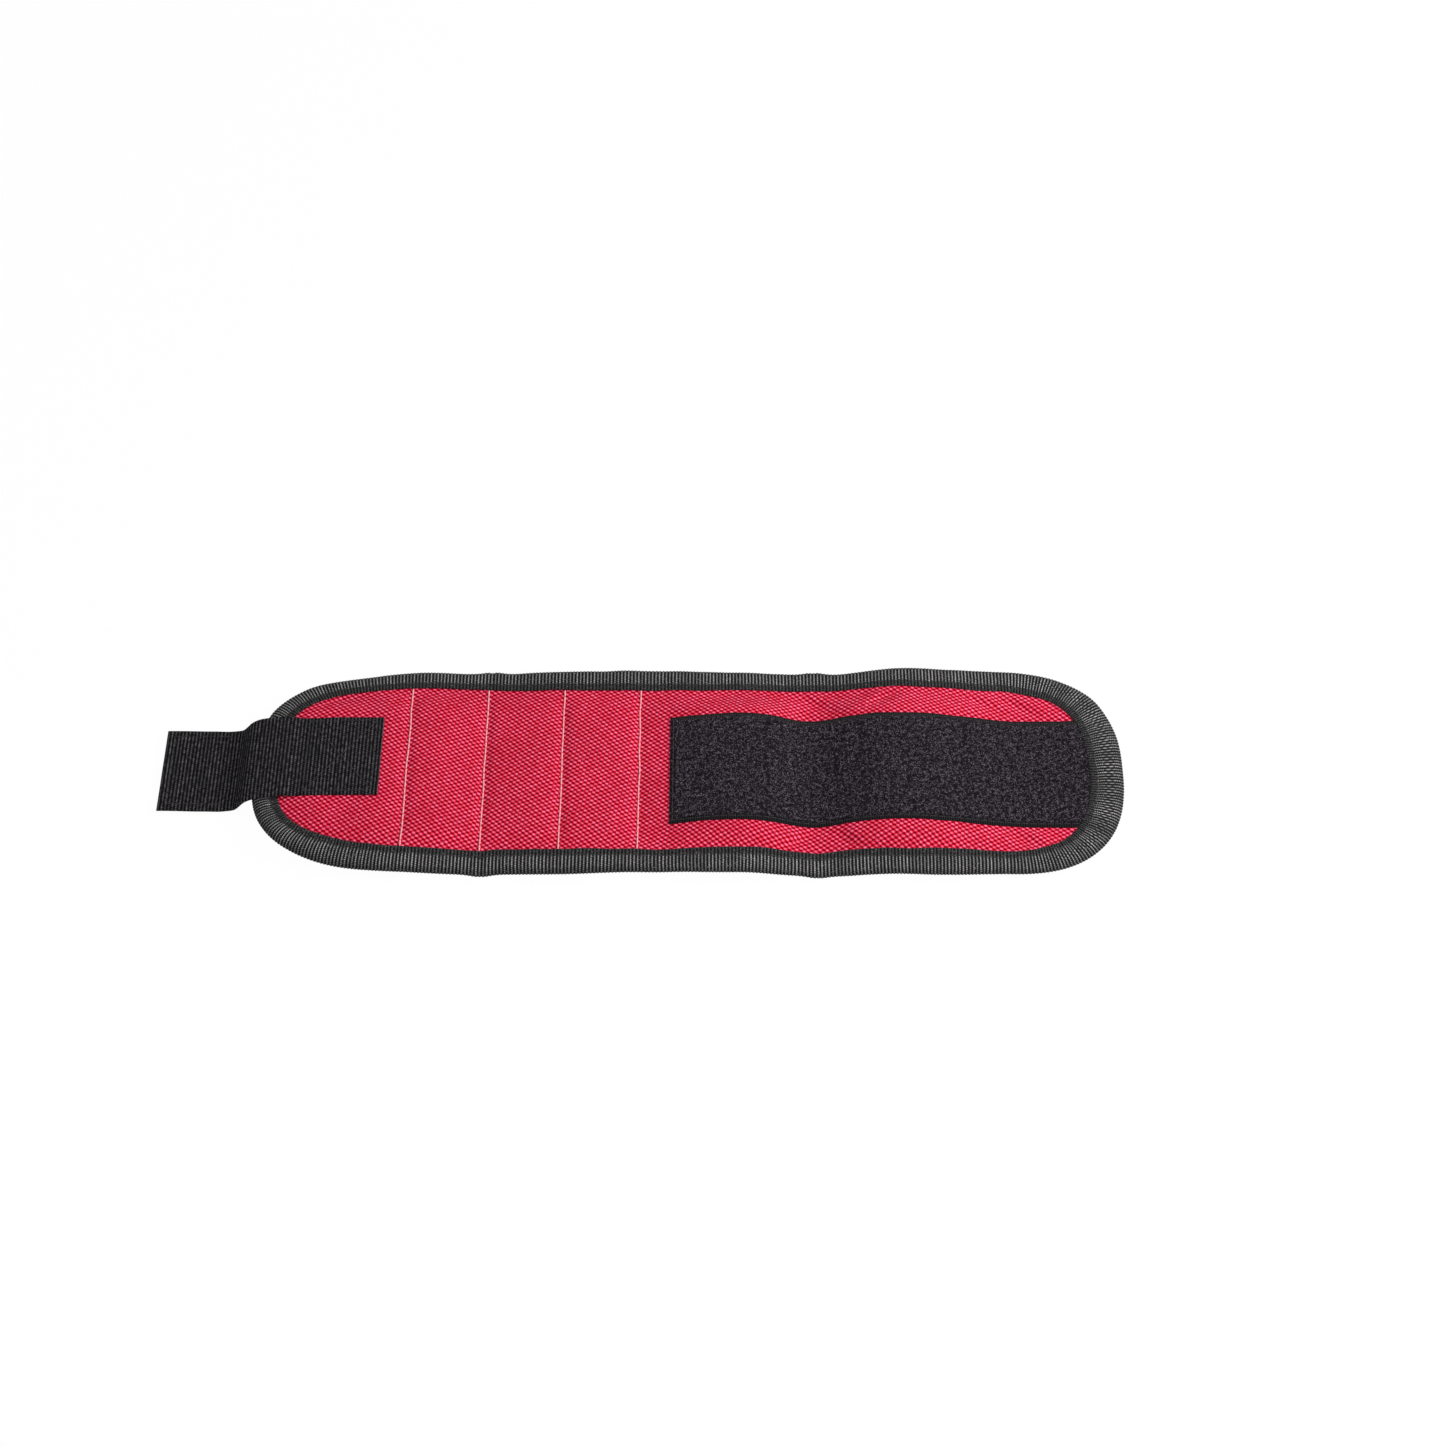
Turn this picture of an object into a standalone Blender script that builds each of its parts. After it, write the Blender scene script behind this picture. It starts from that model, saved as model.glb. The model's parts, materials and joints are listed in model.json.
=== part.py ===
"""Magnetic wrist band that holds pins and small steel notions, laid out open.

Units are metres and +Z is up. The band runs along X with its outer face up: the hook strap is at
the left end, the loop panel on the right. The origin is the centre of the outline on the table.

The band is one sewn sandwich that bends everywhere, so it is built as ten flat panels joined at
fold lines across it. Each panel is drawn flat, in the coordinates of the cut cloth, and then hung
on the empty of its body, whose origin lies on that body's fold line.
"""

import math

import bmesh
import bpy
import numpy as np
from mathutils import Matrix, Vector

MM = 0.001

# Plan of the cut band, before it is bent. STRAP_TIP and RIGHT_TIP are where it ends on the table.
BAND_LEFT = -147.5 * MM
BAND_RIGHT = 184.8 * MM
BAND_HALF_WIDTH = 47.5 * MM
LEFT_END_LENGTH = 78.0 * MM
LEFT_END_POWER = 2.95
RIGHT_END_LENGTH = 45.0 * MM
RIGHT_END_POWER = 2.5
STRAP_TIP = -182.5 * MM
RIGHT_TIP = 182.5 * MM

# Heights of the layers over the underside of the band.
RUNNING_GAP = 0.3 * MM
TAPE_THICKNESS = 0.6 * MM
LINING_EDGE_BOTTOM = TAPE_THICKNESS + RUNNING_GAP
LINING_TOP = LINING_EDGE_BOTTOM + 1.7 * MM
PAD_SETBACK = 0.5 * MM
PAD_CLEARANCE = 0.9 * MM
FABRIC_BOTTOM = LINING_TOP + RUNNING_GAP
FABRIC_THICKNESS = 0.6 * MM
FABRIC_TOP = FABRIC_BOTTOM + FABRIC_THICKNESS
BINDING_TOP = FABRIC_TOP + RUNNING_GAP + TAPE_THICKNESS
FOLD_HEIGHT = FABRIC_BOTTOM + FABRIC_THICKNESS / 2
PANEL_BOTTOM = FABRIC_TOP + RUNNING_GAP
PANEL_THICKNESS = 1.3 * MM

# Binding tape folded over the edge.
BINDING_WIDTH = 10.0 * MM
RIGHT_BINDING_WIDTH = 13.0 * MM
BINDING_WIDENING = 30.0 * MM
BINDING_ROUNDING = 0.8 * MM

# Magnet pockets: three columns between four rows of stitching, three magnets in each.
FIRST_STITCH = -89.2 * MM
COLUMN_PITCH = 29.4 * MM
COLUMNS = 3
ROW_NAMES = ("front", "middle", "back")
COLUMN_NAMES = ("left", "centre", "right")
ROW_PITCH = 23.0 * MM
MAGNET_RADIUS = 9.0 * MM
MAGNET_THICKNESS = 1.2 * MM
MAGNET_BEVEL = 0.25 * MM
POCKET_FLOOR = 1.0 * MM
POCKET_OVERCUT = 1.0 * MM
MAGNET_SIDES = 28

# Loop panel and hook strap.
LOOP_LEFT = 10.7 * MM
LOOP_MIDDLE = -1.5 * MM
LOOP_HALF_WIDTH = 25.0 * MM
LOOP_END_POINTS = 9
STRAP_HALF_WIDTH = 19.0 * MM
STRAP_MIDDLE = 3.0 * MM
STRAP_THICKNESS = 1.2 * MM
STRAP_SEWN_END = -99.0 * MM
STRAP_RISE_START = -132.0 * MM
STRAP_RISE_END = -126.0 * MM
BRIDGE_ANGLE = math.radians(37.5)
HOOK_TAPE_THICKNESS = 0.7 * MM
HOOK_TAPE_MARGIN = 1.5 * MM

# Fold lines across the cut band, and how high each one lies on the table.
RIGHT_FOLDS = (32.3 * MM, 66.0 * MM, 106.0 * MM, 145.6 * MM)
REST_HEIGHTS = tuple(h * MM for h in (1.8, 3.5, 3.6, 0.0, 2.0, 1.6, 6.4, 0.0, 6.9, 0.2, 0.2))
CLOSED_BENDS = tuple(math.radians(a) for a in (34.5, 34.5, 35.0, 36.0, 39.2, 43.0, 49.0, 55.0, 55.0))
ROOT_PANEL = 4

EDGE_SPACING = 7.0 * MM
DENSE_STEPS = 400
ON_CENTRE_LINE = 0.001 * MM
EMPTY_SIZE = 10.0 * MM
COLLECTION_NAME = "wrist_pin_holder"
CUTTER_COLLECTION_NAME = "cutters"

COLOURS = {
    "outer_fabric": ((0.62, 0.018, 0.065), 0.75, 0.0),
    "mesh_lining": ((0.025, 0.025, 0.028), 0.85, 0.0),
    "binding": ((0.035, 0.034, 0.036), 0.70, 0.0),
    "loop_panel": ((0.022, 0.018, 0.024), 0.95, 0.0),
    "strap_webbing": ((0.020, 0.019, 0.021), 0.72, 0.0),
    "hook_tape": ((0.030, 0.030, 0.032), 0.45, 0.0),
    "magnet": ((0.60, 0.60, 0.62), 0.28, 1.0),
}


def fold_lines():
    """Stations of the fold lines along the cut band, both ends included."""
    stitches = [FIRST_STITCH + COLUMN_PITCH * i for i in range(COLUMNS + 1)]
    middle_of_strap_end = (BAND_LEFT + stitches[0]) / 2
    return [BAND_LEFT, middle_of_strap_end, *stitches, *RIGHT_FOLDS, BAND_RIGHT]


FOLDS = fold_lines()
PANELS = len(FOLDS) - 1


def rest_slopes():
    """Slope of each panel on the table, from the heights of its two fold lines."""
    return [
        math.asin((REST_HEIGHTS[i + 1] - REST_HEIGHTS[i]) / (FOLDS[i + 1] - FOLDS[i]))
        for i in range(PANELS)
    ]


SLOPES = rest_slopes()


def end_clearance(fold, height):
    """Room that a layer leaves beside a fold line, so that the panels can bend to the closed cuff."""
    if fold in (0, PANELS):
        return 0.0
    below = max(0.0, FOLD_HEIGHT - height) * math.tan(CLOSED_BENDS[fold - 1] / 2)
    valley = max(0.0, SLOPES[fold] - SLOPES[fold - 1])
    above = max(0.0, height - FOLD_HEIGHT) * math.tan(valley / 2)
    return RUNNING_GAP / 2 + below + above


def rounded_end(length, power, steps):
    """Quarter of a superellipse: distance from the tip and half width, from the tip inwards."""
    turn = np.linspace(0.0, math.pi / 2, steps)
    along = length * (1.0 - np.cos(turn).clip(0.0) ** (2.0 / power))
    return along, BAND_HALF_WIDTH * np.sin(turn) ** (2.0 / power)


def dense_edge():
    """Back edge of the cut band from tip to tip, with its inward normals and running length."""
    left_x, left_y = rounded_end(LEFT_END_LENGTH, LEFT_END_POWER, DENSE_STEPS)
    right_x, right_y = rounded_end(RIGHT_END_LENGTH, RIGHT_END_POWER, DENSE_STEPS)
    x = np.concatenate([BAND_LEFT + left_x, (BAND_RIGHT - right_x)[::-1]])
    y = np.concatenate([left_y, right_y[::-1]])
    run = np.concatenate([[0.0], np.cumsum(np.hypot(np.diff(x), np.diff(y)))])
    tangent_x, tangent_y = np.gradient(x, run), np.gradient(y, run)
    size = np.hypot(tangent_x, tangent_y)
    return x, y, tangent_y / size, -tangent_x / size, run


EDGE_X, EDGE_Y, NORMAL_X, NORMAL_Y, EDGE_RUN = dense_edge()


def edge_between(start, end):
    """Points (x, y, inward normal x, inward normal y) of the back edge between two stations."""
    low, high = np.interp([start, end], EDGE_X, EDGE_RUN)
    count = max(2, round((high - low) / EDGE_SPACING) + 1)
    runs = np.linspace(low, high, count)
    columns = [np.interp(runs, EDGE_RUN, values) for values in (EDGE_X, EDGE_Y, NORMAL_X, NORMAL_Y)]
    return np.stack(columns, axis=1)


def binding_width(x):
    """Width of the binding's legs, which grows towards the right tip."""
    share = min(1.0, max(0.0, (x - (BAND_RIGHT - BINDING_WIDENING)) / BINDING_WIDENING))
    return BINDING_WIDTH + (RIGHT_BINDING_WIDTH - BINDING_WIDTH) * share


def shifted(panel, x, height, setback=0.0):
    """x moved off the panel's fold lines by the clearance that this height needs."""
    low = FOLDS[panel] + end_clearance(panel, height) + setback
    high = FOLDS[panel + 1] - end_clearance(panel + 1, height) - setback
    return min(max(x, low), high)


class Body:
    """One rigid piece of the bending band: an empty on its fold line, and the flat place it covers."""

    def __init__(self, name, origin_x, origin_z, parent, location, slope):
        self.origin = Vector((origin_x, 0.0, origin_z))
        self.empty = bpy.data.objects.new(name, None)
        self.empty.empty_display_size = EMPTY_SIZE
        bpy.data.collections[COLLECTION_NAME].objects.link(self.empty)
        self.empty.parent = parent.empty if parent else None
        self.empty.location = location
        self.empty.rotation_euler = (0.0, -slope, 0.0)

    def add(self, name, bm, material_name, collection_name=COLLECTION_NAME):
        """Makes an object from a bmesh drawn in the coordinates of the flat band."""
        bmesh.ops.translate(bm, verts=bm.verts, vec=-self.origin)
        bmesh.ops.recalc_face_normals(bm, faces=bm.faces)
        mesh = bpy.data.meshes.new(name)
        bm.to_mesh(mesh)
        bm.free()
        mesh.materials.append(bpy.data.materials[material_name])
        obj = bpy.data.objects.new(name, mesh)
        bpy.data.collections[collection_name].objects.link(obj)
        obj.parent = self.empty
        return obj


def clear_scene():
    """Removes the objects and makes the two collections."""
    for obj in list(bpy.data.objects):
        bpy.data.objects.remove(obj, do_unlink=True)
    for name in (COLLECTION_NAME, CUTTER_COLLECTION_NAME):
        collection = bpy.data.collections.new(name)
        bpy.context.scene.collection.children.link(collection)


def make_materials():
    """One Principled material for each kind of piece."""
    for name, (colour, roughness, metallic) in COLOURS.items():
        material = bpy.data.materials.new(name)
        material.use_nodes = True
        shader = material.node_tree.nodes["Principled BSDF"]
        shader.inputs["Base Color"].default_value = (*colour, 1.0)
        shader.inputs["Roughness"].default_value = roughness
        shader.inputs["Metallic"].default_value = metallic


def skin(bm, rings):
    """Joins closed rings of equal length with faces and caps the first and the last."""
    loops = [[bm.verts.new(point) for point in ring] for ring in rings]
    count = len(loops[0])
    for low, high in zip(loops, loops[1:]):
        for i in range(count):
            j = (i + 1) % count
            bm.faces.new((low[i], low[j], high[j], high[i]))
    bm.faces.new(loops[0][::-1])
    bm.faces.new(loops[-1])


def panel_ring(panel, inset, height, setback=0.0):
    """Outline of a panel, drawn in from the band's edge by the inset, at one height."""
    edge = edge_between(FOLDS[panel], FOLDS[panel + 1])
    back = [
        (shifted(panel, x + nx * inset, height, setback), max(0.0, y + ny * inset))
        for x, y, nx, ny in edge
    ]
    front = [(x, -y) for x, y in reversed(back) if y > ON_CENTRE_LINE]
    return [(x, y, height) for x, y in back + front]


def add_outer_fabric(bodies):
    """Top sheet, whose edge lies inside the binding."""
    inset = TAPE_THICKNESS + RUNNING_GAP
    for panel, body in enumerate(bodies):
        bm = bmesh.new()
        skin(bm, [panel_ring(panel, inset, height) for height in (FABRIC_TOP, FABRIC_BOTTOM)])
        body.add(f"outer_fabric_{panel + 1:02d}", bm, "outer_fabric")


def add_lining(bodies):
    """Padded mesh lining: a thin edge inside the binding and a pad that reaches the underside."""
    edge_inset = TAPE_THICKNESS + RUNNING_GAP
    for panel, body in enumerate(bodies):
        pad_inset = binding_width(FOLDS[panel + 1]) + PAD_CLEARANCE
        bm = bmesh.new()
        rings = (
            (edge_inset, LINING_TOP, 0.0),
            (edge_inset, LINING_EDGE_BOTTOM, 0.0),
            (pad_inset, LINING_EDGE_BOTTOM, PAD_SETBACK),
            (pad_inset, 0.0, PAD_SETBACK),
        )
        skin(bm, [panel_ring(panel, *ring) for ring in rings])
        lining = body.add(f"mesh_lining_{panel + 1:02d}", bm, "mesh_lining")
        column = panel - FOLDS.index(FIRST_STITCH)
        if 0 <= column < COLUMNS:
            add_magnets(body, lining, column)


def disc(centre_x, centre_y, low, high, radius):
    """Upright disc between two heights, as a bmesh."""
    bm = bmesh.new()
    place = Matrix.Translation((centre_x, centre_y, (low + high) / 2))
    bmesh.ops.create_cone(
        bm,
        cap_ends=True,
        segments=MAGNET_SIDES,
        radius1=radius,
        radius2=radius,
        depth=high - low,
        matrix=place,
    )
    return bm


def add_magnets(body, lining, column):
    """Three disc magnets in blind pockets cut into the top of the lining."""
    x = FIRST_STITCH + COLUMN_PITCH * (column + 0.5)
    bottom = POCKET_FLOOR + RUNNING_GAP
    for row, row_name in enumerate(ROW_NAMES):
        y = (row - 1) * ROW_PITCH
        name = f"magnet_{COLUMN_NAMES[column]}_{row_name}"
        magnet = body.add(name, disc(x, y, bottom, bottom + MAGNET_THICKNESS, MAGNET_RADIUS), "magnet")
        bevel = magnet.modifiers.new("edge", "BEVEL")
        bevel.width = MAGNET_BEVEL
        bevel.segments = 1
        bevel.limit_method = "ANGLE"
        pocket = disc(x, y, POCKET_FLOOR, LINING_TOP + POCKET_OVERCUT, MAGNET_RADIUS + RUNNING_GAP)
        cutter = body.add(f"{name}_pocket", pocket, "magnet", CUTTER_COLLECTION_NAME)
        cutter.hide_render = True
        cutter.display_type = "WIRE"
        cut = lining.modifiers.new(f"pocket_{row_name}", "BOOLEAN")
        cut.operation = "DIFFERENCE"
        cut.object = cutter


def binding_profile(width):
    """Section of the folded tape: (distance in from the edge, height), once round."""
    thick, top, curve = TAPE_THICKNESS, BINDING_TOP, BINDING_ROUNDING
    return (
        (width, 0.0),
        (curve, 0.0),
        (0.0, curve),
        (0.0, top - curve),
        (curve, top),
        (width, top),
        (width, top - thick),
        (thick, top - thick),
        (thick, thick),
        (width, thick),
    )


def binding_rings(panel, edge):
    """The binding's section at each point of the edge."""
    return [
        [
            (shifted(panel, x + nx * depth, height), y + ny * depth, height)
            for depth, height in binding_profile(binding_width(x))
        ]
        for x, y, nx, ny in edge
    ]


def add_binding(bodies):
    """Tape folded over the edge: one length along each side of a panel, one round each end."""
    for panel, body in enumerate(bodies):
        edge = edge_between(FOLDS[panel], FOLDS[panel + 1])
        mirrored = edge[::-1] * (1.0, -1.0, 1.0, -1.0)
        if panel == 0:
            runs = {"left_end": np.concatenate([mirrored, edge[1:]])}
        elif panel == PANELS - 1:
            runs = {"right_end": np.concatenate([edge, mirrored[1:]])}
        else:
            runs = {f"back_{panel + 1:02d}": edge, f"front_{panel + 1:02d}": mirrored}
        for place, run in runs.items():
            bm = bmesh.new()
            skin(bm, binding_rings(panel, run))
            body.add(f"binding_{place}", bm, "binding")


def add_loop_panel(bodies):
    """Loop tape on the outer face, cut to the inner edge of the right binding."""
    inner = [
        (x + nx * (binding_width(x) + RUNNING_GAP), y + ny * (binding_width(x) + RUNNING_GAP))
        for x, y, nx, ny in edge_between(FOLDS[-2], BAND_RIGHT)
    ]
    inner_x, inner_y = np.array(inner)[::-1].T
    front, back = LOOP_MIDDLE - LOOP_HALF_WIDTH, LOOP_MIDDLE + LOOP_HALF_WIDTH
    across = np.linspace(front, back, LOOP_END_POINTS)
    heights = (PANEL_BOTTOM + PANEL_THICKNESS, PANEL_BOTTOM)
    for panel, body in enumerate(bodies):
        start, end = max(FOLDS[panel], LOOP_LEFT), FOLDS[panel + 1]
        if start >= end:
            continue
        rings = []
        for height in heights:
            right = np.full_like(across, shifted(panel, end, height))
            if panel == PANELS - 1:
                right = np.interp(np.abs(across), inner_y, inner_x)
            left = shifted(panel, start, height)
            ring = [(x, y, height) for x, y in zip(right, across)]
            rings.append([*ring, (left, back, height), (left, front, height)])
        bm = bmesh.new()
        skin(bm, rings)
        body.add(f"loop_panel_{panel + 1:02d}", bm, "loop_panel")


def add_ribbon(body, name, underside, thickness, half_width, material_name):
    """Flat tape whose underside follows the points (x, z), thickened upwards by Solidify."""
    bm = bmesh.new()
    sides = (STRAP_MIDDLE - half_width, STRAP_MIDDLE + half_width)
    rows = [[bm.verts.new((x, y, z)) for y in sides] for x, z in underside]
    for near, far in zip(rows, rows[1:]):
        bm.faces.new((near[0], far[0], far[1], near[1]))
    ribbon = body.add(name, bm, material_name)
    up = ribbon.data.polygons[0].normal.z > 0
    solidify = ribbon.modifiers.new("thickness", "SOLIDIFY")
    solidify.thickness = thickness
    solidify.offset = 1.0 if up else -1.0
    solidify.use_even_offset = True
    return ribbon


def add_sewn_strap(bodies):
    """The part of the hook strap that is sewn on, over the left binding and down to the fabric."""
    over = BINDING_TOP + RUNNING_GAP
    half_gap = RUNNING_GAP / 2
    first = ((BAND_LEFT, over), (STRAP_RISE_START, over), (STRAP_RISE_END, PANEL_BOTTOM))
    first = (*first, (FOLDS[1] - half_gap, PANEL_BOTTOM))
    second = ((FOLDS[1] + half_gap, PANEL_BOTTOM), (STRAP_SEWN_END, PANEL_BOTTOM))
    for number, line in enumerate((first, second)):
        name = f"strap_sewn_{number + 1:02d}"
        add_ribbon(bodies[number], name, line, STRAP_THICKNESS, STRAP_HALF_WIDTH, "strap_webbing")


def add_free_strap(strap_end):
    """The free end of the strap: a bridge down to the table, and the tab with its hook tape."""
    height = BINDING_TOP + RUNNING_GAP
    local_hinge = Vector((BAND_LEFT - RUNNING_GAP, 0.0, height)) - strap_end.origin
    bridge = Body("strap_bridge_hinge", 0.0, 0.0, strap_end, local_hinge, BRIDGE_ANGLE - SLOPES[0])
    bpy.context.view_layer.update()
    hinge = bridge.empty.matrix_world.translation
    tab_underside = HOOK_TAPE_THICKNESS + RUNNING_GAP
    drop = hinge.z - tab_underside - STRAP_THICKNESS + STRAP_THICKNESS * math.cos(BRIDGE_ANGLE)
    length = drop / math.sin(BRIDGE_ANGLE)
    half_gap = RUNNING_GAP / 2
    line = ((-half_gap, 0.0), (-length + half_gap, 0.0))
    add_ribbon(bridge, "strap_bridge", line, STRAP_THICKNESS, STRAP_HALF_WIDTH, "strap_webbing")

    local_tab = Vector((-length, 0.0, STRAP_THICKNESS))
    tab = Body("strap_tab_hinge", 0.0, STRAP_THICKNESS, bridge, local_tab, -BRIDGE_ANGLE)
    bpy.context.view_layer.update()
    tab_hinge = tab.empty.matrix_world.translation
    reach = STRAP_TIP - tab_hinge.x
    add_ribbon(
        tab, "strap_tab", ((-half_gap, 0.0), (reach, 0.0)), STRAP_THICKNESS, STRAP_HALF_WIDTH,
        "strap_webbing",
    )
    hooks = -RUNNING_GAP - HOOK_TAPE_THICKNESS
    line = ((-HOOK_TAPE_MARGIN, hooks), (reach + HOOK_TAPE_MARGIN, hooks))
    half_width = STRAP_HALF_WIDTH - HOOK_TAPE_MARGIN
    add_ribbon(tab, "hook_tape", line, HOOK_TAPE_THICKNESS, half_width, "hook_tape")


def make_bodies():
    """The chain of panel bodies, outwards from the root panel."""
    root_x = FOLDS[ROOT_PANEL]
    reach = sum((FOLDS[i + 1] - FOLDS[i]) * math.cos(SLOPES[i]) for i in range(ROOT_PANEL, PANELS))
    place = (RIGHT_TIP - reach, 0.0, REST_HEIGHTS[ROOT_PANEL] + FOLD_HEIGHT)
    root = Body("panel_05_root", root_x, FOLD_HEIGHT, None, place, SLOPES[ROOT_PANEL])
    bodies = {ROOT_PANEL: root}
    for panel in range(ROOT_PANEL + 1, PANELS):
        step = Vector((FOLDS[panel], 0.0, FOLD_HEIGHT)) - bodies[panel - 1].origin
        bend = SLOPES[panel] - SLOPES[panel - 1]
        name = f"panel_{panel + 1:02d}_hinge"
        bodies[panel] = Body(name, FOLDS[panel], FOLD_HEIGHT, bodies[panel - 1], step, bend)
    for panel in range(ROOT_PANEL - 1, -1, -1):
        step = Vector((FOLDS[panel + 1], 0.0, FOLD_HEIGHT)) - bodies[panel + 1].origin
        bend = SLOPES[panel] - SLOPES[panel + 1]
        name = f"panel_{panel + 1:02d}_hinge"
        bodies[panel] = Body(name, FOLDS[panel + 1], FOLD_HEIGHT, bodies[panel + 1], step, bend)
    return [bodies[panel] for panel in range(PANELS)]


def main():
    clear_scene()
    make_materials()
    bodies = make_bodies()
    add_outer_fabric(bodies)
    add_lining(bodies)
    add_binding(bodies)
    add_loop_panel(bodies)
    add_sewn_strap(bodies)
    add_free_strap(bodies[0])
    bpy.context.view_layer.update()


main()
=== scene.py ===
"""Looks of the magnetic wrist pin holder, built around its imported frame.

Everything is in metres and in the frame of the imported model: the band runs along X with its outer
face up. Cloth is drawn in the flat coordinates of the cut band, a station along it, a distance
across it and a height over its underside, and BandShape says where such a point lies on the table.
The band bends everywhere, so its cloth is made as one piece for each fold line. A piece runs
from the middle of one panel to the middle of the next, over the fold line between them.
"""

from __future__ import annotations

import json
import logging
import math
from dataclasses import dataclass, field
from enum import Enum
from typing import Callable, Iterable, Sequence

import bpy
import numpy as np
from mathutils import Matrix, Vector

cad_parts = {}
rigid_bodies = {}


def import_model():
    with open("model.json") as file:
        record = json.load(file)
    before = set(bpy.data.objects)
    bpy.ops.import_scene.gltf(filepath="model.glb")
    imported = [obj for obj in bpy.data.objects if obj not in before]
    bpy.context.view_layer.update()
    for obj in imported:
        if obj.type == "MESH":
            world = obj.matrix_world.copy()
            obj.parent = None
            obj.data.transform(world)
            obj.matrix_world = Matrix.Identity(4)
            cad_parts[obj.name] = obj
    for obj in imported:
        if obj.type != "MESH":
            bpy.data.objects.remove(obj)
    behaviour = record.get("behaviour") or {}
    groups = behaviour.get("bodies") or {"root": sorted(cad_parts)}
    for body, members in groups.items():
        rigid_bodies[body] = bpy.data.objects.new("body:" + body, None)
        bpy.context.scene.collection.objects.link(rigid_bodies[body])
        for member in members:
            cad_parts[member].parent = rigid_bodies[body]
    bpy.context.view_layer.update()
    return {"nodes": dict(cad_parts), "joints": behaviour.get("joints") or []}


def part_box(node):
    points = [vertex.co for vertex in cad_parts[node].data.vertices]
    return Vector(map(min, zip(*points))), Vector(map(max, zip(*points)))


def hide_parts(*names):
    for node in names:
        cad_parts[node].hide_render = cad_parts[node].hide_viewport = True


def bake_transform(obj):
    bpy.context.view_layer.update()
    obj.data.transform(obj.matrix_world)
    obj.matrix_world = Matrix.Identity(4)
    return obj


MM = 0.001
LOG = logging.getLogger("wrist_pin_holder")

# Heights over the underside of the band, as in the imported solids.
FOLD_HEIGHT = 3.2 * MM
FABRIC_TOP = 3.5 * MM
LINING_TOP = 2.6 * MM
BINDING_TOP = 4.4 * MM

# Plan of the cut band.
HALF_WIDTH = 47.5 * MM
LEFT_TIP = -147.5 * MM
LEFT_END = (78.0 * MM, 2.95)
RIGHT_END = (45.0 * MM, 2.5)
BINDING_WIDTH = 9.6 * MM
RIGHT_BINDING_WIDTH = 13.0 * MM
BINDING_WIDENING = 44.0 * MM
TIP_AXIS_HEIGHTS = (5.0 * MM, 3.4 * MM)
STRAP_ROOT_GAP = 0.3 * MM
CREASE_SHIFT = 0.8 * MM
BORDER_THREAD = 0.17 * MM
FIRST_LOOP_FOLD = 6

CLOTH_UV = "cloth"
SHARP_ANGLE = math.radians(50.0)

FOLD_JOINTS = (
    "wrap_bend_01", "wrap_bend_02", "wrap_bend_03", "wrap",
    "wrap_bend_06", "wrap_bend_07", "wrap_bend_08", "wrap_bend_09", "wrap_bend_10",
)
STITCH_FOLDS = (2, 3, 4, 5)
CREASED_FOLDS = (3, 7)

Array = np.ndarray
Socket = bpy.types.NodeSocket
Node = bpy.types.Node
NodeTree = bpy.types.NodeTree
Material = bpy.types.Material
Piece = bpy.types.Object


class Slot(Enum):
    """Material slots of the record."""

    OUTER_FABRIC = "outer_fabric"
    MESH_LINING = "mesh_lining"
    BINDING = "binding"
    LOOP_PANEL = "loop_panel"
    STRAP_WEBBING = "strap_webbing"
    HOOK_TAPE = "hook_tape"
    MAGNET = "magnet"


class Side(Enum):
    """Long edges of the band: the back one is at +Y."""

    FRONT = -1
    BACK = 1


def smooth_step(values: Array) -> Array:
    """Smooth rise from 0 to 1 as the values go from 0 to 1."""
    share = np.clip(values, 0.0, 1.0)
    return share * share * (3.0 - 2.0 * share)


def bell(distance: Array, width: float) -> Array:
    """Bump that is 1 at no distance and falls away over about the width."""
    return np.exp(-((distance / width) ** 2))


def smooth_line(knots: Array, values: Array, where: Array) -> Array:
    """Smooth curve through the given values.

    Args:
        knots: Stations of the values, rising.
        values: The value at each station.
        where: Stations at which the curve is wanted.

    Returns:
        The value of the curve at each wanted station.
    """
    steps = np.diff(values) / np.diff(knots)
    inner = (steps[:-1] * np.diff(knots)[1:] + steps[1:] * np.diff(knots)[:-1]) / (
        np.diff(knots)[:-1] + np.diff(knots)[1:]
    )
    tangents = np.concatenate([steps[:1], inner, steps[-1:]])
    at = np.clip(np.searchsorted(knots, where, side="right") - 1, 0, len(knots) - 2)
    length = (knots[at + 1] - knots[at])
    share = (where - knots[at]) / length
    square, cube = share**2, share**3
    return (
        (2 * cube - 3 * square + 1) * values[at]
        + (cube - 2 * square + share) * length * tangents[at]
        + (3 * square - 2 * cube) * values[at + 1]
        + (cube - square) * length * tangents[at + 1]
    )


@dataclass(frozen=True)
class SoftNoise:
    """Smooth random field over the flat cloth, the same on every run.

    Attributes:
        seed: Seed of the random table.
        cell: Size of one bump, in metres.
        stretch: How many times longer than wide the bumps are, along the second coordinate.
    """

    seed: int
    cell: float
    stretch: float = 1.0
    table_size: int = 128

    def at(self, first: Array, second: Array) -> Array:
        """Values from -1 to 1 at the given coordinates.

        Args:
            first: First coordinate.
            second: Second coordinate.

        Returns:
            The value at each point.
        """
        table = np.random.default_rng(self.seed).uniform(-1.0, 1.0, (self.table_size,) * 2)
        first, second = np.broadcast_arrays(first, second)
        column, row = first / self.cell, second / (self.cell * self.stretch)
        left, low = np.floor(column).astype(int), np.floor(row).astype(int)
        across, up = smooth_step(column - left), smooth_step(row - low)
        left, low = left % self.table_size, low % self.table_size
        right, high = (left + 1) % self.table_size, (low + 1) % self.table_size
        bottom = table[left, low] * (1 - across) + table[right, low] * across
        top = table[left, high] * (1 - across) + table[right, high] * across
        return bottom * (1 - up) + top * up


# --- Shape of the band ---


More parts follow.
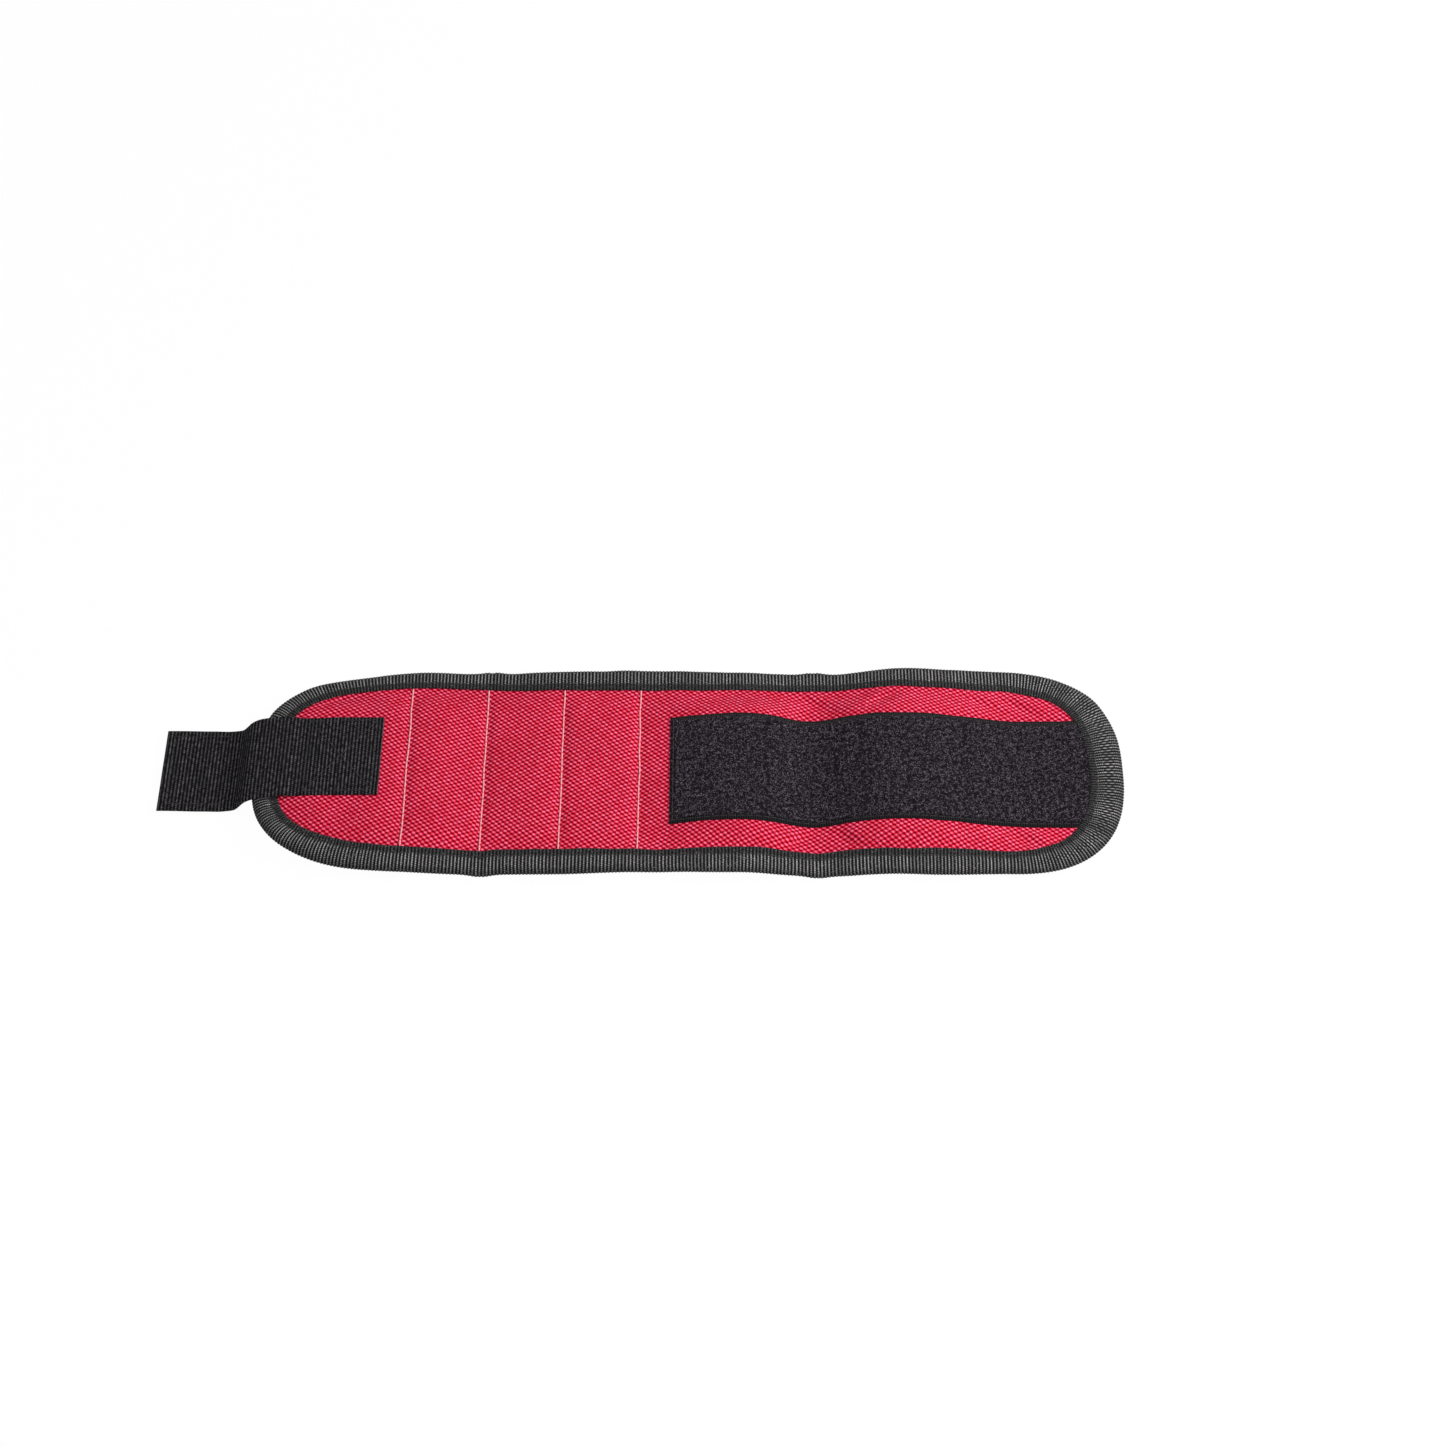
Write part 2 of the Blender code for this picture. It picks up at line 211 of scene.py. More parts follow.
@dataclass(frozen=True)
class LiftTable:
    """Heights of the band over the straight fold lines, along it and across it.

    Attributes:
        stations: Stations of the heights, in mm.
        rows: For each distance across in mm, front to back, its heights in mm.
    """

    stations: tuple[float, ...]
    rows: dict[float, tuple[float, ...]]

    def at(self, station: Array, across: Array) -> Array:
        """Height at the given points, smooth along the band and across it.

        Args:
            station: Stations on the flat band.
            across: Distances across it.

        Returns:
            The value at each point.
        """
        sides = np.array(sorted(self.rows)) * MM
        knots = np.array(self.stations) * MM
        heights = [np.array(self.rows[side]) * MM for side in sorted(self.rows)]
        lines = [smooth_line(knots, values, station) for values in heights]
        low = np.clip(np.searchsorted(sides, across, side="right") - 1, 0, len(sides) - 2)
        share = np.clip((across - sides[low]) / (sides[low + 1] - sides[low]), 0.0, 1.0)
        share = smooth_step(share)
        stack = np.stack(np.broadcast_arrays(*lines, across)[:-1])
        near = np.take_along_axis(stack, low[None], axis=0)[0]
        far = np.take_along_axis(stack, low[None] + 1, axis=0)[0]
        return near * (1.0 - share) + far * share


@dataclass
class BandShape:
    """Where a point of the flat, cut band lies while the open band rests on the table.

    Attributes:
        fold_x: X of the band's two tips and of the fold lines between them.
        fold_z: Height of the fold axis at each of them.
        lifts: How far the cloth stands over the straight fold lines.
        thin_from: Station past which the band holds no magnets and lies thin.
        thin_over: Length over which it grows thin.
        thin_share: Share of its height that is left there.
        edge_share: Share of its height that is left along the edges.
        edge_from: Share of the half width from which the height falls to that.
        edge_over: Share of the half width over which it does.
        edge_wave: How far the sewn edges wander sideways.
        edge_kink: How far the edges stand out where the band was folded for storage.
        kink_reach: Length over which they do.
    """

    fold_x: Array
    fold_z: Array
    lifts: LiftTable
    thin_from: float = -6.0 * MM
    thin_over: float = 16.0 * MM
    thin_share: float = 0.64
    edge_share: float = 0.80
    edge_from: float = 0.76
    edge_over: float = 0.2
    edge_wave: float = 0.35 * MM
    edge_kink: float = 1.0 * MM
    kink_reach: float = 4.5 * MM
    dense_steps: int = 500
    line_spacing: float = 0.5 * MM

    def __post_init__(self) -> None:
        """Works out the flat stations, the smooth line over them, and the outline."""
        chords = np.hypot(np.diff(self.fold_x), np.diff(self.fold_z))
        self.stations = LEFT_TIP + np.concatenate([[0.0], np.cumsum(chords)])
        self.right_tip = float(self.stations[-1])
        count = round((self.right_tip - LEFT_TIP) / self.line_spacing)
        self.line_s = np.linspace(LEFT_TIP, self.right_tip, count)
        self.line_x = smooth_line(self.stations, self.fold_x, self.line_s)
        self.line_z = smooth_line(self.stations, self.fold_z, self.line_s)
        self.line_slope = np.arctan2(
            np.gradient(self.line_z, self.line_s), np.gradient(self.line_x, self.line_s)
        )
        self.middles = (self.stations[:-1] + self.stations[1:]) / 2
        self._make_outline()

    def _make_outline(self) -> None:
        """Back edge of the cut band from tip to tip, with its inward normals and running length."""
        turn = np.linspace(0.0, math.pi / 2, self.dense_steps)
        ends = []
        for length, power in (LEFT_END, RIGHT_END):
            along = length * (1.0 - np.cos(turn).clip(0.0) ** (2.0 / power))
            ends.append((along, HALF_WIDTH * np.sin(turn) ** (2.0 / power)))
        (left_s, left_y), (right_s, right_y) = ends
        self.edge_s = np.concatenate([LEFT_TIP + left_s, (self.right_tip - right_s)[::-1]])
        self.edge_y = np.concatenate([left_y, right_y[::-1]])
        steps = np.hypot(np.diff(self.edge_s), np.diff(self.edge_y))
        self.edge_run = np.concatenate([[0.0], np.cumsum(steps)])
        tangent_s = np.gradient(self.edge_s, self.edge_run)
        tangent_y = np.gradient(self.edge_y, self.edge_run)
        size = np.hypot(tangent_s, tangent_y)
        self.normal_s, self.normal_y = tangent_y / size, -tangent_s / size
        bend = np.gradient(np.unwrap(np.arctan2(tangent_y, tangent_s)), self.edge_run)
        self.edge_bend = np.abs(bend)

    def run_at(self, station: float) -> float:
        """Running length of the edge at a station."""
        return float(np.interp(station, self.edge_s, self.edge_run))

    def edge(self, runs: Array) -> tuple[Array, Array, Array, Array, Array]:
        """Edge station, distance across, inward normal and tightness of bend at running lengths."""
        lists = (self.edge_s, self.edge_y, self.normal_s, self.normal_y, self.edge_bend)
        return tuple(np.interp(runs, self.edge_run, values) for values in lists)

    def half_width(self, station: Array, inset: float = 0.0) -> Array:
        """Half width of the band at a station, drawn in from the edge by the inset.

        Args:
            station: Stations along the flat band.
            inset: Distance in from the edge.

        Returns:
            Half the width at each station.
        """
        along = self.edge_s + self.normal_s * inset
        across = self.edge_y + self.normal_y * inset
        rising = np.maximum.accumulate(along)
        return np.interp(station, rising, np.maximum(across, 0.0))

    def binding_width(self, station: Array) -> Array:
        """Width of the binding's legs, which grows towards the right tip."""
        share = (station - (self.right_tip - BINDING_WIDENING)) / BINDING_WIDENING
        return BINDING_WIDTH + (RIGHT_BINDING_WIDTH - BINDING_WIDTH) * np.clip(share, 0.0, 1.0)

    def squeeze(self, station: Array, across: Array) -> Array:
        """Share of the band's height that is left at a point.

        Args:
            station: Stations on the flat band.
            across: Distances across it.

        Returns:
            The share at each point.
        """
        past = smooth_step((station - self.thin_from) / self.thin_over)
        along = 1.0 - (1.0 - self.thin_share) * past
        edge = smooth_step((np.abs(across) / HALF_WIDTH - self.edge_from) / self.edge_over)
        return along * (1.0 - (1.0 - self.edge_share) * edge)

    def place(self, station: Array, across: Array, height: Array) -> Array:
        """Points on the table of points of the flat band.

        Args:
            station: Distance along the flat band.
            across: Distance across it from its middle line.
            height: Height over its underside.

        Returns:
            An array of the same shape with X, Y and Z added as its last axis.
        """
        station, across, height = np.broadcast_arrays(station, across, height)
        x = np.interp(station, self.line_s, self.line_x)
        z = np.interp(station, self.line_s, self.line_z)
        slope = np.interp(station, self.line_s, self.line_slope)
        above = height * self.squeeze(station, across) - FOLD_HEIGHT
        share = np.abs(across) / HALF_WIDTH
        wave = self.edge_wave * share**3 * (
            np.sin(station / (7.3 * MM) + np.sign(across)) * 0.5
            + np.sin(station / (12.1 * MM) + 2.0 * np.sign(across))
        )
        for fold in CREASED_FOLDS:
            wave = wave + self.edge_kink * share**6 * bell(
                station - self.stations[fold] - CREASE_SHIFT, self.kink_reach
            )
        lying = np.maximum(z + above * np.cos(slope) + self.lifts.at(station, across), 0.0)
        return np.stack(
            [x - above * np.sin(slope), across + wave * np.sign(across), lying], axis=-1
        )

    def fold_station(self, fold: int) -> float:
        """Station of a fold line, counted from 1 after the left tip."""
        return float(self.stations[fold])

    def piece_range(self, fold: int) -> tuple[float, float]:
        """Stations between which the cloth piece of a fold line lies.

        Args:
            fold: Number of the fold line.

        Returns:
            The first and the last station.
        """
        start = LEFT_TIP if fold == 1 else float(self.middles[fold - 1])
        end = self.right_tip if fold == len(FOLD_JOINTS) else float(self.middles[fold])
        return start, end

    def bend_over(self, piece: Piece, fold: int) -> None:
        """Bakes a piece's placement into its mesh. It works out where the middles of the two panels
        lie, but does not bend the piece.
        """
        ends = self.place(self.middles[fold - 1 : fold + 1], np.zeros(2), np.full(2, FOLD_HEIGHT))
        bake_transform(piece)


@dataclass
class ClothRelief:
    """Heights of the cloth layers over the flat underside, with their quilting and wrinkles.

    Attributes:
        shape: The band that the cloth belongs to.
        puff: How far the cloth swells between two rows of stitching.
        pinch: How far a row of stitching pulls the cloth down.
        pinch_width: Half width of that dent.
        wrinkle: Depth of the soft wrinkles.
        drag_depth: Depth of the folds that the binding drags in the cloth.
        drag_width: Half width of such a fold.
        pucker: Depth of the small puckers along a row of stitching.
        pucker_length: Their length, over 2 pi.
        hem_reach: Distance in from the binding over which the cloth comes free.
        hold_reach: Distance from the loop panel over which it still holds the cloth flat.
        pad_rim: Height of the lining's wrist face at the binding.
        pad_dent: Depth of the lining's dent at a row of stitching.
        pad_bump: Height of the lining's soft bumps.
    """

    shape: BandShape
    puff: float = 1.0 * MM
    pinch: float = 0.8 * MM
    pinch_width: float = 1.7 * MM
    wrinkle: float = 0.22 * MM
    drag_depth: float = 1.2 * MM
    drag_width: float = 1.9 * MM
    pucker: float = 0.12 * MM
    pucker_length: float = 1.05 * MM
    hem_reach: float = 9.0 * MM
    hold_reach: float = 5.0 * MM
    pad_rim: float = 0.62 * MM
    pad_dent: float = 0.9 * MM
    pad_bump: float = 0.15 * MM
    long_wrinkles: SoftNoise = SoftNoise(11, 9.0 * MM, 2.6)
    small_wrinkles: SoftNoise = SoftNoise(12, 4.5 * MM, 1.4)
    loop_left: float = 10.7 * MM
    loop_middle: float = -1.5 * MM
    loop_half_width: float = 25.0 * MM

    # Folds that the binding drags in the cloth: station and distance across of both ends, in mm.
    drags: tuple[tuple[float, float, float, float], ...] = (
        (137.0, -27.0, 153.0, -36.5), (124.0, 36.0, 142.0, 27.0), (140.0, 34.0, 155.0, 26.0),
        (60.0, 36.0, 74.0, 28.0), (88.0, 28.0, 100.0, 36.0), (56.0, -36.0, 66.0, -29.0),
        (72.0, -29.0, 82.0, -36.0), (-132.0, 30.0, -112.0, 33.0),
    )

    def stitch_stations(self) -> list[float]:
        """Stations of the four rows of stitching."""
        return [self.shape.fold_station(fold) for fold in STITCH_FOLDS]

    def quilting(self, station: Array) -> Array:
        """Swell between the rows of stitching, less the dent at each row.

        Args:
            station: Stations along the flat band.

        Returns:
            The swell at each station.
        """
        rows = self.stitch_stations()
        pitch = rows[1] - rows[0]
        share = (station - rows[0]) / pitch
        inside = (share > 0.0) & (share < len(rows) - 1)
        part = share - np.floor(share)
        swell = np.where(inside, self.puff * (4.0 * part * (1.0 - part)) ** 0.8, 0.0)
        outside = np.where(share <= 0.0, -share, share - (len(rows) - 1)) * pitch
        swell = np.where(inside, swell, 0.5 * self.puff * smooth_step(outside / (10.0 * MM)))
        dents = sum(bell(station - row, self.pinch_width) for row in rows)
        return swell - self.pinch * dents

    def free_share(self, station: Array, across: Array) -> Array:
        """How free a point of the cloth is to swell: 0 at the binding and 1 well inside.

        Args:
            station: Stations on the flat band.
            across: Distances across it.

        Returns:
            The share at each point.
        """
        room = self.shape.half_width(station, BINDING_WIDTH) - np.abs(across)
        ends = np.minimum(station - LEFT_TIP, self.shape.right_tip - station) - BINDING_WIDTH
        return smooth_step(np.minimum(room, ends) / self.hem_reach)

    def drag_folds(self, station: Array, across: Array) -> Array:
        """Dents where the sewn binding drags the cloth, beside the loop panel and at the ends.

        Args:
            station: Stations on the flat band.
            across: Distances across it.

        Returns:
            The change in height at each point.
        """
        dent = np.zeros(np.broadcast_shapes(station.shape, across.shape))
        for start_s, start_y, end_s, end_y in np.array(self.drags) * MM:
            length = math.hypot(end_s - start_s, end_y - start_y)
            along_s, along_y = (end_s - start_s) / length, (end_y - start_y) / length
            from_s, from_y = station - (start_s + end_s) / 2, across - (start_y + end_y) / 2
            along = from_s * along_s + from_y * along_y
            beside = from_y * along_s - from_s * along_y
            ridge = bell(beside, self.drag_width) - 0.6 * bell(
                beside - 1.9 * self.drag_width, self.drag_width
            )
            dent = dent + ridge * bell(along, 0.55 * length)
        room = self.shape.half_width(station, BINDING_WIDTH) - np.abs(across)
        return -self.drag_depth * dent * smooth_step(room / (3.0 * MM))

    def under_loop_panel(self, station: Array, across: Array) -> Array:
        """Share by which the sewn loop panel holds the cloth flat at a point.

        Args:
            station: Stations on the flat band.
            across: Distances across it.

        Returns:
            The share at each point.
        """
        reach = self.hold_reach
        room = self.loop_half_width + reach - np.abs(across - self.loop_middle)
        return smooth_step(room / reach) * smooth_step((station - self.loop_left + reach) / reach)

    def outer(self, station: Array, across: Array) -> Array:
        """Height of the outer face of the fabric.

        Args:
            station: Stations on the flat band.
            across: Distances across it.

        Returns:
            The height at each point.
        """
        loose = 1.0 - self.under_loop_panel(station, across)
        free = self.free_share(station, across) * loose
        wrinkles = self.wrinkle * (
            self.long_wrinkles.at(station + 0.25 * across, across)
            + 0.45 * self.small_wrinkles.at(station, across)
        )
        rows = bell(
            np.min([np.abs(station - row) for row in self.stitch_stations()], axis=0), 4.0 * MM
        )
        puckers = self.pucker * rows * np.sin(across / self.pucker_length)
        drags = loose * self.drag_folds(station, across)
        return FABRIC_TOP + free * (self.quilting(station) + wrinkles + puckers) + drags

    def inner(self, station: Array, across: Array) -> Array:
        """Height of the wrist face of the lining: flat pads with a dent along each row.

        Args:
            station: Stations on the flat band.
            across: Distances across it.

        Returns:
            The height at each point.
        """
        free = self.free_share(station, across)
        dents = sum(bell(station - row, 2.4 * MM) for row in self.stitch_stations())
        bumps = self.pad_bump * (1.0 + self.long_wrinkles.at(across, station))
        return (1.0 - free) * self.pad_rim + free * (self.pad_dent * dents + bumps)


# --- Meshes ---


def mesh_piece(name: str, points: Array, faces: Sequence, uvs: Array) -> Piece:
    """Makes an object from points, faces and one cloth coordinate for each point.

    Args:
        name: Name of the piece.
        points: Points as an array of n by 3.
        faces: Faces as lists of point numbers.
        uvs: Cloth coordinates in metres, as an array of n by 2.

    Returns:
        The new object, smooth shaded, with edges over SHARP_ANGLE kept sharp.
    """
    mesh = bpy.data.meshes.new(name)
    mesh.from_pydata(points.tolist(), [], faces)
    layer = mesh.uv_layers.new(name=CLOTH_UV)
    corner = np.empty(len(mesh.loops), np.int32)
    mesh.loops.foreach_get("vertex_index", corner)
    layer.data.foreach_set("uv", uvs[corner].astype(np.float32).ravel())
    mesh.polygons.foreach_set("use_smooth", np.ones(len(mesh.polygons), bool))
    mesh.set_sharp_from_angle(angle=SHARP_ANGLE)
    mesh.update()
    piece = bpy.data.objects.new(name, mesh)
    bpy.context.scene.collection.objects.link(piece)
    return piece


def grid_faces(columns: int, rows: int, first: int = 0) -> Array:
    """Faces of a grid of points, turned so that they face up over rising columns and rows.

    Args:
        columns: Points along it.
        rows: Points across it.
        first: Number of its first point.

    Returns:
        Four point numbers for each face.
    """
    column, row = np.meshgrid(np.arange(columns - 1), np.arange(rows - 1), indexing="ij")
    corner = first + column * rows + row
    quads = np.stack([corner, corner + rows, corner + rows + 1, corner + 1], axis=-1)
    return quads.reshape(-1, 4)


def shell_piece(name: str, upper: Array, lower: Array, uvs: Array) -> Piece:
    """Closed sheet between an upper and a lower grid of points.

    Args:
        name: Name of the piece.
        upper: Upper points, as an array of columns by rows by 3.
        lower: Lower points, of the same shape.
        uvs: Cloth coordinates of both, as an array of columns by rows by 2.

    Returns:
        The new object.
    """
    columns, rows = upper.shape[:2]
    count = columns * rows
    top = grid_faces(columns, rows)
    bottom = grid_faces(columns, rows, count)[:, ::-1]
    number = np.arange(count).reshape(columns, rows)
    rim = np.concatenate(
        [number[:, 0], number[-1, 1:], number[-2::-1, -1], number[0, -2:0:-1]]
    )
    following = np.roll(rim, -1)
    sides = np.stack([rim, rim + count, following + count, following], axis=-1)
    faces = np.concatenate([top, bottom, sides]).tolist()
    points = np.concatenate([upper.reshape(-1, 3), lower.reshape(-1, 3)])
    return mesh_piece(name, points, faces, np.concatenate([uvs.reshape(-1, 2)] * 2))


def tube_faces(rings: int, sides: int) -> tuple[Array, list[list[int]]]:
    """Side faces and end caps of a tube whose rings run round the same way as its length.

    Args:
        rings: Number of rings.
        sides: Sides of a ring.

    Returns:
        The side faces and the two caps.
    """
    ring, side = np.meshgrid(np.arange(rings - 1), np.arange(sides), indexing="ij")
    following = (side + 1) % sides
    low, high = ring * sides, (ring + 1) * sides
    quads = np.stack([low + side, low + following, high + following, high + side], axis=-1)
    caps = [list(range(sides))[::-1], [(rings - 1) * sides + i for i in range(sides)]]
    return quads.reshape(-1, 4), caps


def tube_piece(name: str, tubes: Sequence[tuple[Array, Array]]) -> Piece:
    """Closed tubes in one object.

    Args:
        name: Name of the piece.
        tubes: For each tube its rings of points, as an array of rings by sides by 3, and the
            cloth coordinates of those points.

    Returns:
        The new object.
    """
    points, faces, uvs, first = [], [], [], 0
    for rings, coordinates in tubes:
        quads, caps = tube_faces(*rings.shape[:2])
        faces += (quads + first).tolist() + [[i + first for i in cap] for cap in caps]
        points.append(rings.reshape(-1, 3))
        uvs.append(coordinates.reshape(-1, 2))
        first += rings.shape[0] * rings.shape[1]
    return mesh_piece(name, np.concatenate(points), faces, np.concatenate(uvs))


def strand_piece(
    name: str, paths: Array, radius: float, sides: int, taper: float = 0.55
) -> Piece:
    """Many short round strands in one object, such as stitches or loops of pile.

    Args:
        name: Name of the piece.
        paths: Points of each strand, as an array of strands by points by 3.
        radius: Radius of a strand.
        sides: Number of sides round it.
        taper: Share of the radius that is left at its ends.

    Returns:
        The new object.
    """
    strands, steps = paths.shape[:2]
    tangent = np.gradient(paths, axis=1)
    tangent /= np.maximum(np.linalg.norm(tangent, axis=-1, keepdims=True), 1e-12)
    chord = paths[:, -1:] - paths[:, :1]
    bow = paths[:, steps // 2 : steps // 2 + 1] - (paths[:, -1:] + paths[:, :1]) / 2
    side = np.cross(chord, bow + np.array([0.0, 0.0, 1e-6]))
    side /= np.maximum(np.linalg.norm(side, axis=-1, keepdims=True), 1e-15)
    side = side + 0.0 * tangent
    up = np.cross(side, tangent)
    turn = np.arange(sides) * 2.0 * math.pi / sides
    thickness = np.full(steps, radius)
    thickness[[0, -1]] *= taper
    ring = side[:, :, None] * np.cos(turn)[:, None] + up[:, :, None] * np.sin(turn)[:, None]
    points = paths[:, :, None] + ring * thickness[None, :, None, None]
    quads, caps = tube_faces(steps, sides)
    offsets = np.arange(strands) * steps * sides
    all_quads = (quads[None] + offsets[:, None, None]).reshape(-1, 4)
    all_caps = (np.array(caps)[None] + offsets[:, None, None]).reshape(-1, sides)
    length = np.linalg.norm(np.diff(paths, axis=1), axis=-1).sum(axis=1)
    along = np.linspace(0.0, 1.0, steps)[None, :, None] * length[:, None, None]
    along = along + offsets[:, None, None] * 1.7e-5
    uvs = np.stack(
        np.broadcast_arrays(along, (turn * radius)[None, None]), axis=-1
    )
    faces = all_quads.tolist() + all_caps.tolist()
    return mesh_piece(name, points.reshape(-1, 3), faces, uvs.reshape(-1, 2))


@dataclass(frozen=True)
class Stitch:
    """Size of a stitch.

    Attributes:
        length: Length of one stitch.
        gap: Space to the next one.
        bulge: How far its middle stands over its ends.
    """

    length: float
    gap: float
    bulge: float


def stitch_paths(
    line: Callable[[Array], tuple[Array, Array]],
    length: float,
    place: Callable[[Array, Array, Array], Array],
    height: Callable[[Array, Array], Array],
    stitch: Stitch,
    facing: float = 1.0,
) -> Array:
    """Points of the stitches along a line on the cloth.

    Args:
        line: Gives stations and distances across at lengths along the line.
        length: Length of the line.
        place: Puts flat points on the table.
        height: Gives the height of the cloth at flat points.
        stitch: Size of the stitches.
        facing: 1 for the outer face and -1 for the underside.

    Returns:
        An array of stitches by five by 3.
    """
    count = max(1, int((length + stitch.gap) / (stitch.length + stitch.gap)))
    pitch = (length + stitch.gap) / count
    starts = np.arange(count) * pitch
    share = np.array([0.0, 0.16, 0.5, 0.84, 1.0])
    along = starts[:, None] + share * (pitch - stitch.gap)
    station, across = line(along)
    profile = np.array([-0.6, 0.55, 1.0, 0.55, -0.6])
    raised = facing * stitch.bulge * profile
    return place(station, across, height(station, across) + raised)


# --- Shader nodes ---


class NodePen:
    """Adds nodes to a node tree and links them."""

    def __init__(self, tree: NodeTree) -> None:
        """Keeps the tree."""
        self.tree = tree

    def feed(self, socket: Socket, value: object) -> None:
        """Links a socket to an input, or sets a plain value on it.

        Args:
            socket: The input.
            value: A socket or a plain value.
        """
        if isinstance(value, Socket):
            self.tree.links.new(value, socket)
        else:
            socket.default_value = value

    def add(self, kind: str, inputs: dict | None = None, **settings: object) -> Node:
        """Adds a node.

        Args:
            kind: Type of the node, without its Shader prefix.
            inputs: Values or sockets for its inputs, by name or number.
            settings: Attributes to set on the node first.

        Returns:
            The node.
        """
        node = self.tree.nodes.new(f"ShaderNode{kind}")
        for key, value in settings.items():
            setattr(node, key, value)
        for key, value in (inputs or {}).items():
            self.feed(node.inputs[key], value)
        return node

    def math(self, operation: str, first: object, second: object = 0.0) -> Socket:
        """Result of a Math node."""
        node = self.add("Math", {0: first, 1: second}, operation=operation)
        return node.outputs[0]

    def times(self, first: object, second: object) -> Socket:
        """Product of two values."""
        return self.math("MULTIPLY", first, second)

    def plus(self, first: object, second: object) -> Socket:
        """Sum of two values."""
        return self.math("ADD", first, second)

    def scaled(self, value: Socket, factor: float, offset: float) -> Socket:
        """Value times a factor, plus an offset."""
        inputs = {0: value, 1: factor, 2: offset}
        return self.add("Math", inputs, operation="MULTIPLY_ADD").outputs[0]

    def span(self, value: Socket, low: float, high: float, to: tuple = (0.0, 1.0)) -> Socket:
        """Smooth step of a value from one range to another, clamped.

        Args:
            value: The value.
            low: Value at which the result starts.
            high: Value at which it ends.
            to: Range of the result.

        Returns:
            The result.
        """
        names = ("Value", "From Min", "From Max", "To Min", "To Max")
        inputs = dict(zip(names, (value, low, high, *to)))
        return self.add("MapRange", inputs, interpolation_type="SMOOTHSTEP").outputs[0]

    def mix(self, share: object, first: object, second: object) -> Socket:
        """Colour mixed by a share.

        Args:
            share: Share of the second colour.
            first: First colour.
            second: Second colour.

        Returns:
            The mixed colour.
        """
        node = self.add("Mix", data_type="RGBA")
        colours = [s for s in node.inputs if s.type == "RGBA"]
        self.feed(node.inputs["Factor"], share)
        self.feed(colours[0], first)
        self.feed(colours[1], second)
        return next(s for s in node.outputs if s.type == "RGBA")

    def noise(self, vector: Socket, scale: float, detail: float = 2.0) -> Socket:
        """Noise from 0 to 1 in cloth coordinates."""
        inputs = {"Vector": vector, "Scale": scale, "Detail": detail, "Roughness": 0.55}
        return self.add("TexNoise", inputs).outputs["Fac"]

    def group(self, tree: NodeTree, inputs: dict) -> Node:
        """Places a node group.

        Args:
            tree: The group.
            inputs: Values or sockets for its inputs.

        Returns:
            The node.
        """
        node = self.tree.nodes.new("ShaderNodeGroup")
        node.node_tree = tree
        for key, value in inputs.items():
            self.feed(node.inputs[key], value)
        return node

    def split(self, vector: Socket) -> tuple[Socket, Socket]:
        """First two parts of a vector."""
        node = self.add("SeparateXYZ", {0: vector})
        return node.outputs[0], node.outputs[1]

    def join(self, first: object, second: object) -> Socket:
        """Vector of two parts."""
        return self.add("CombineXYZ", {0: first, 1: second}).outputs[0]


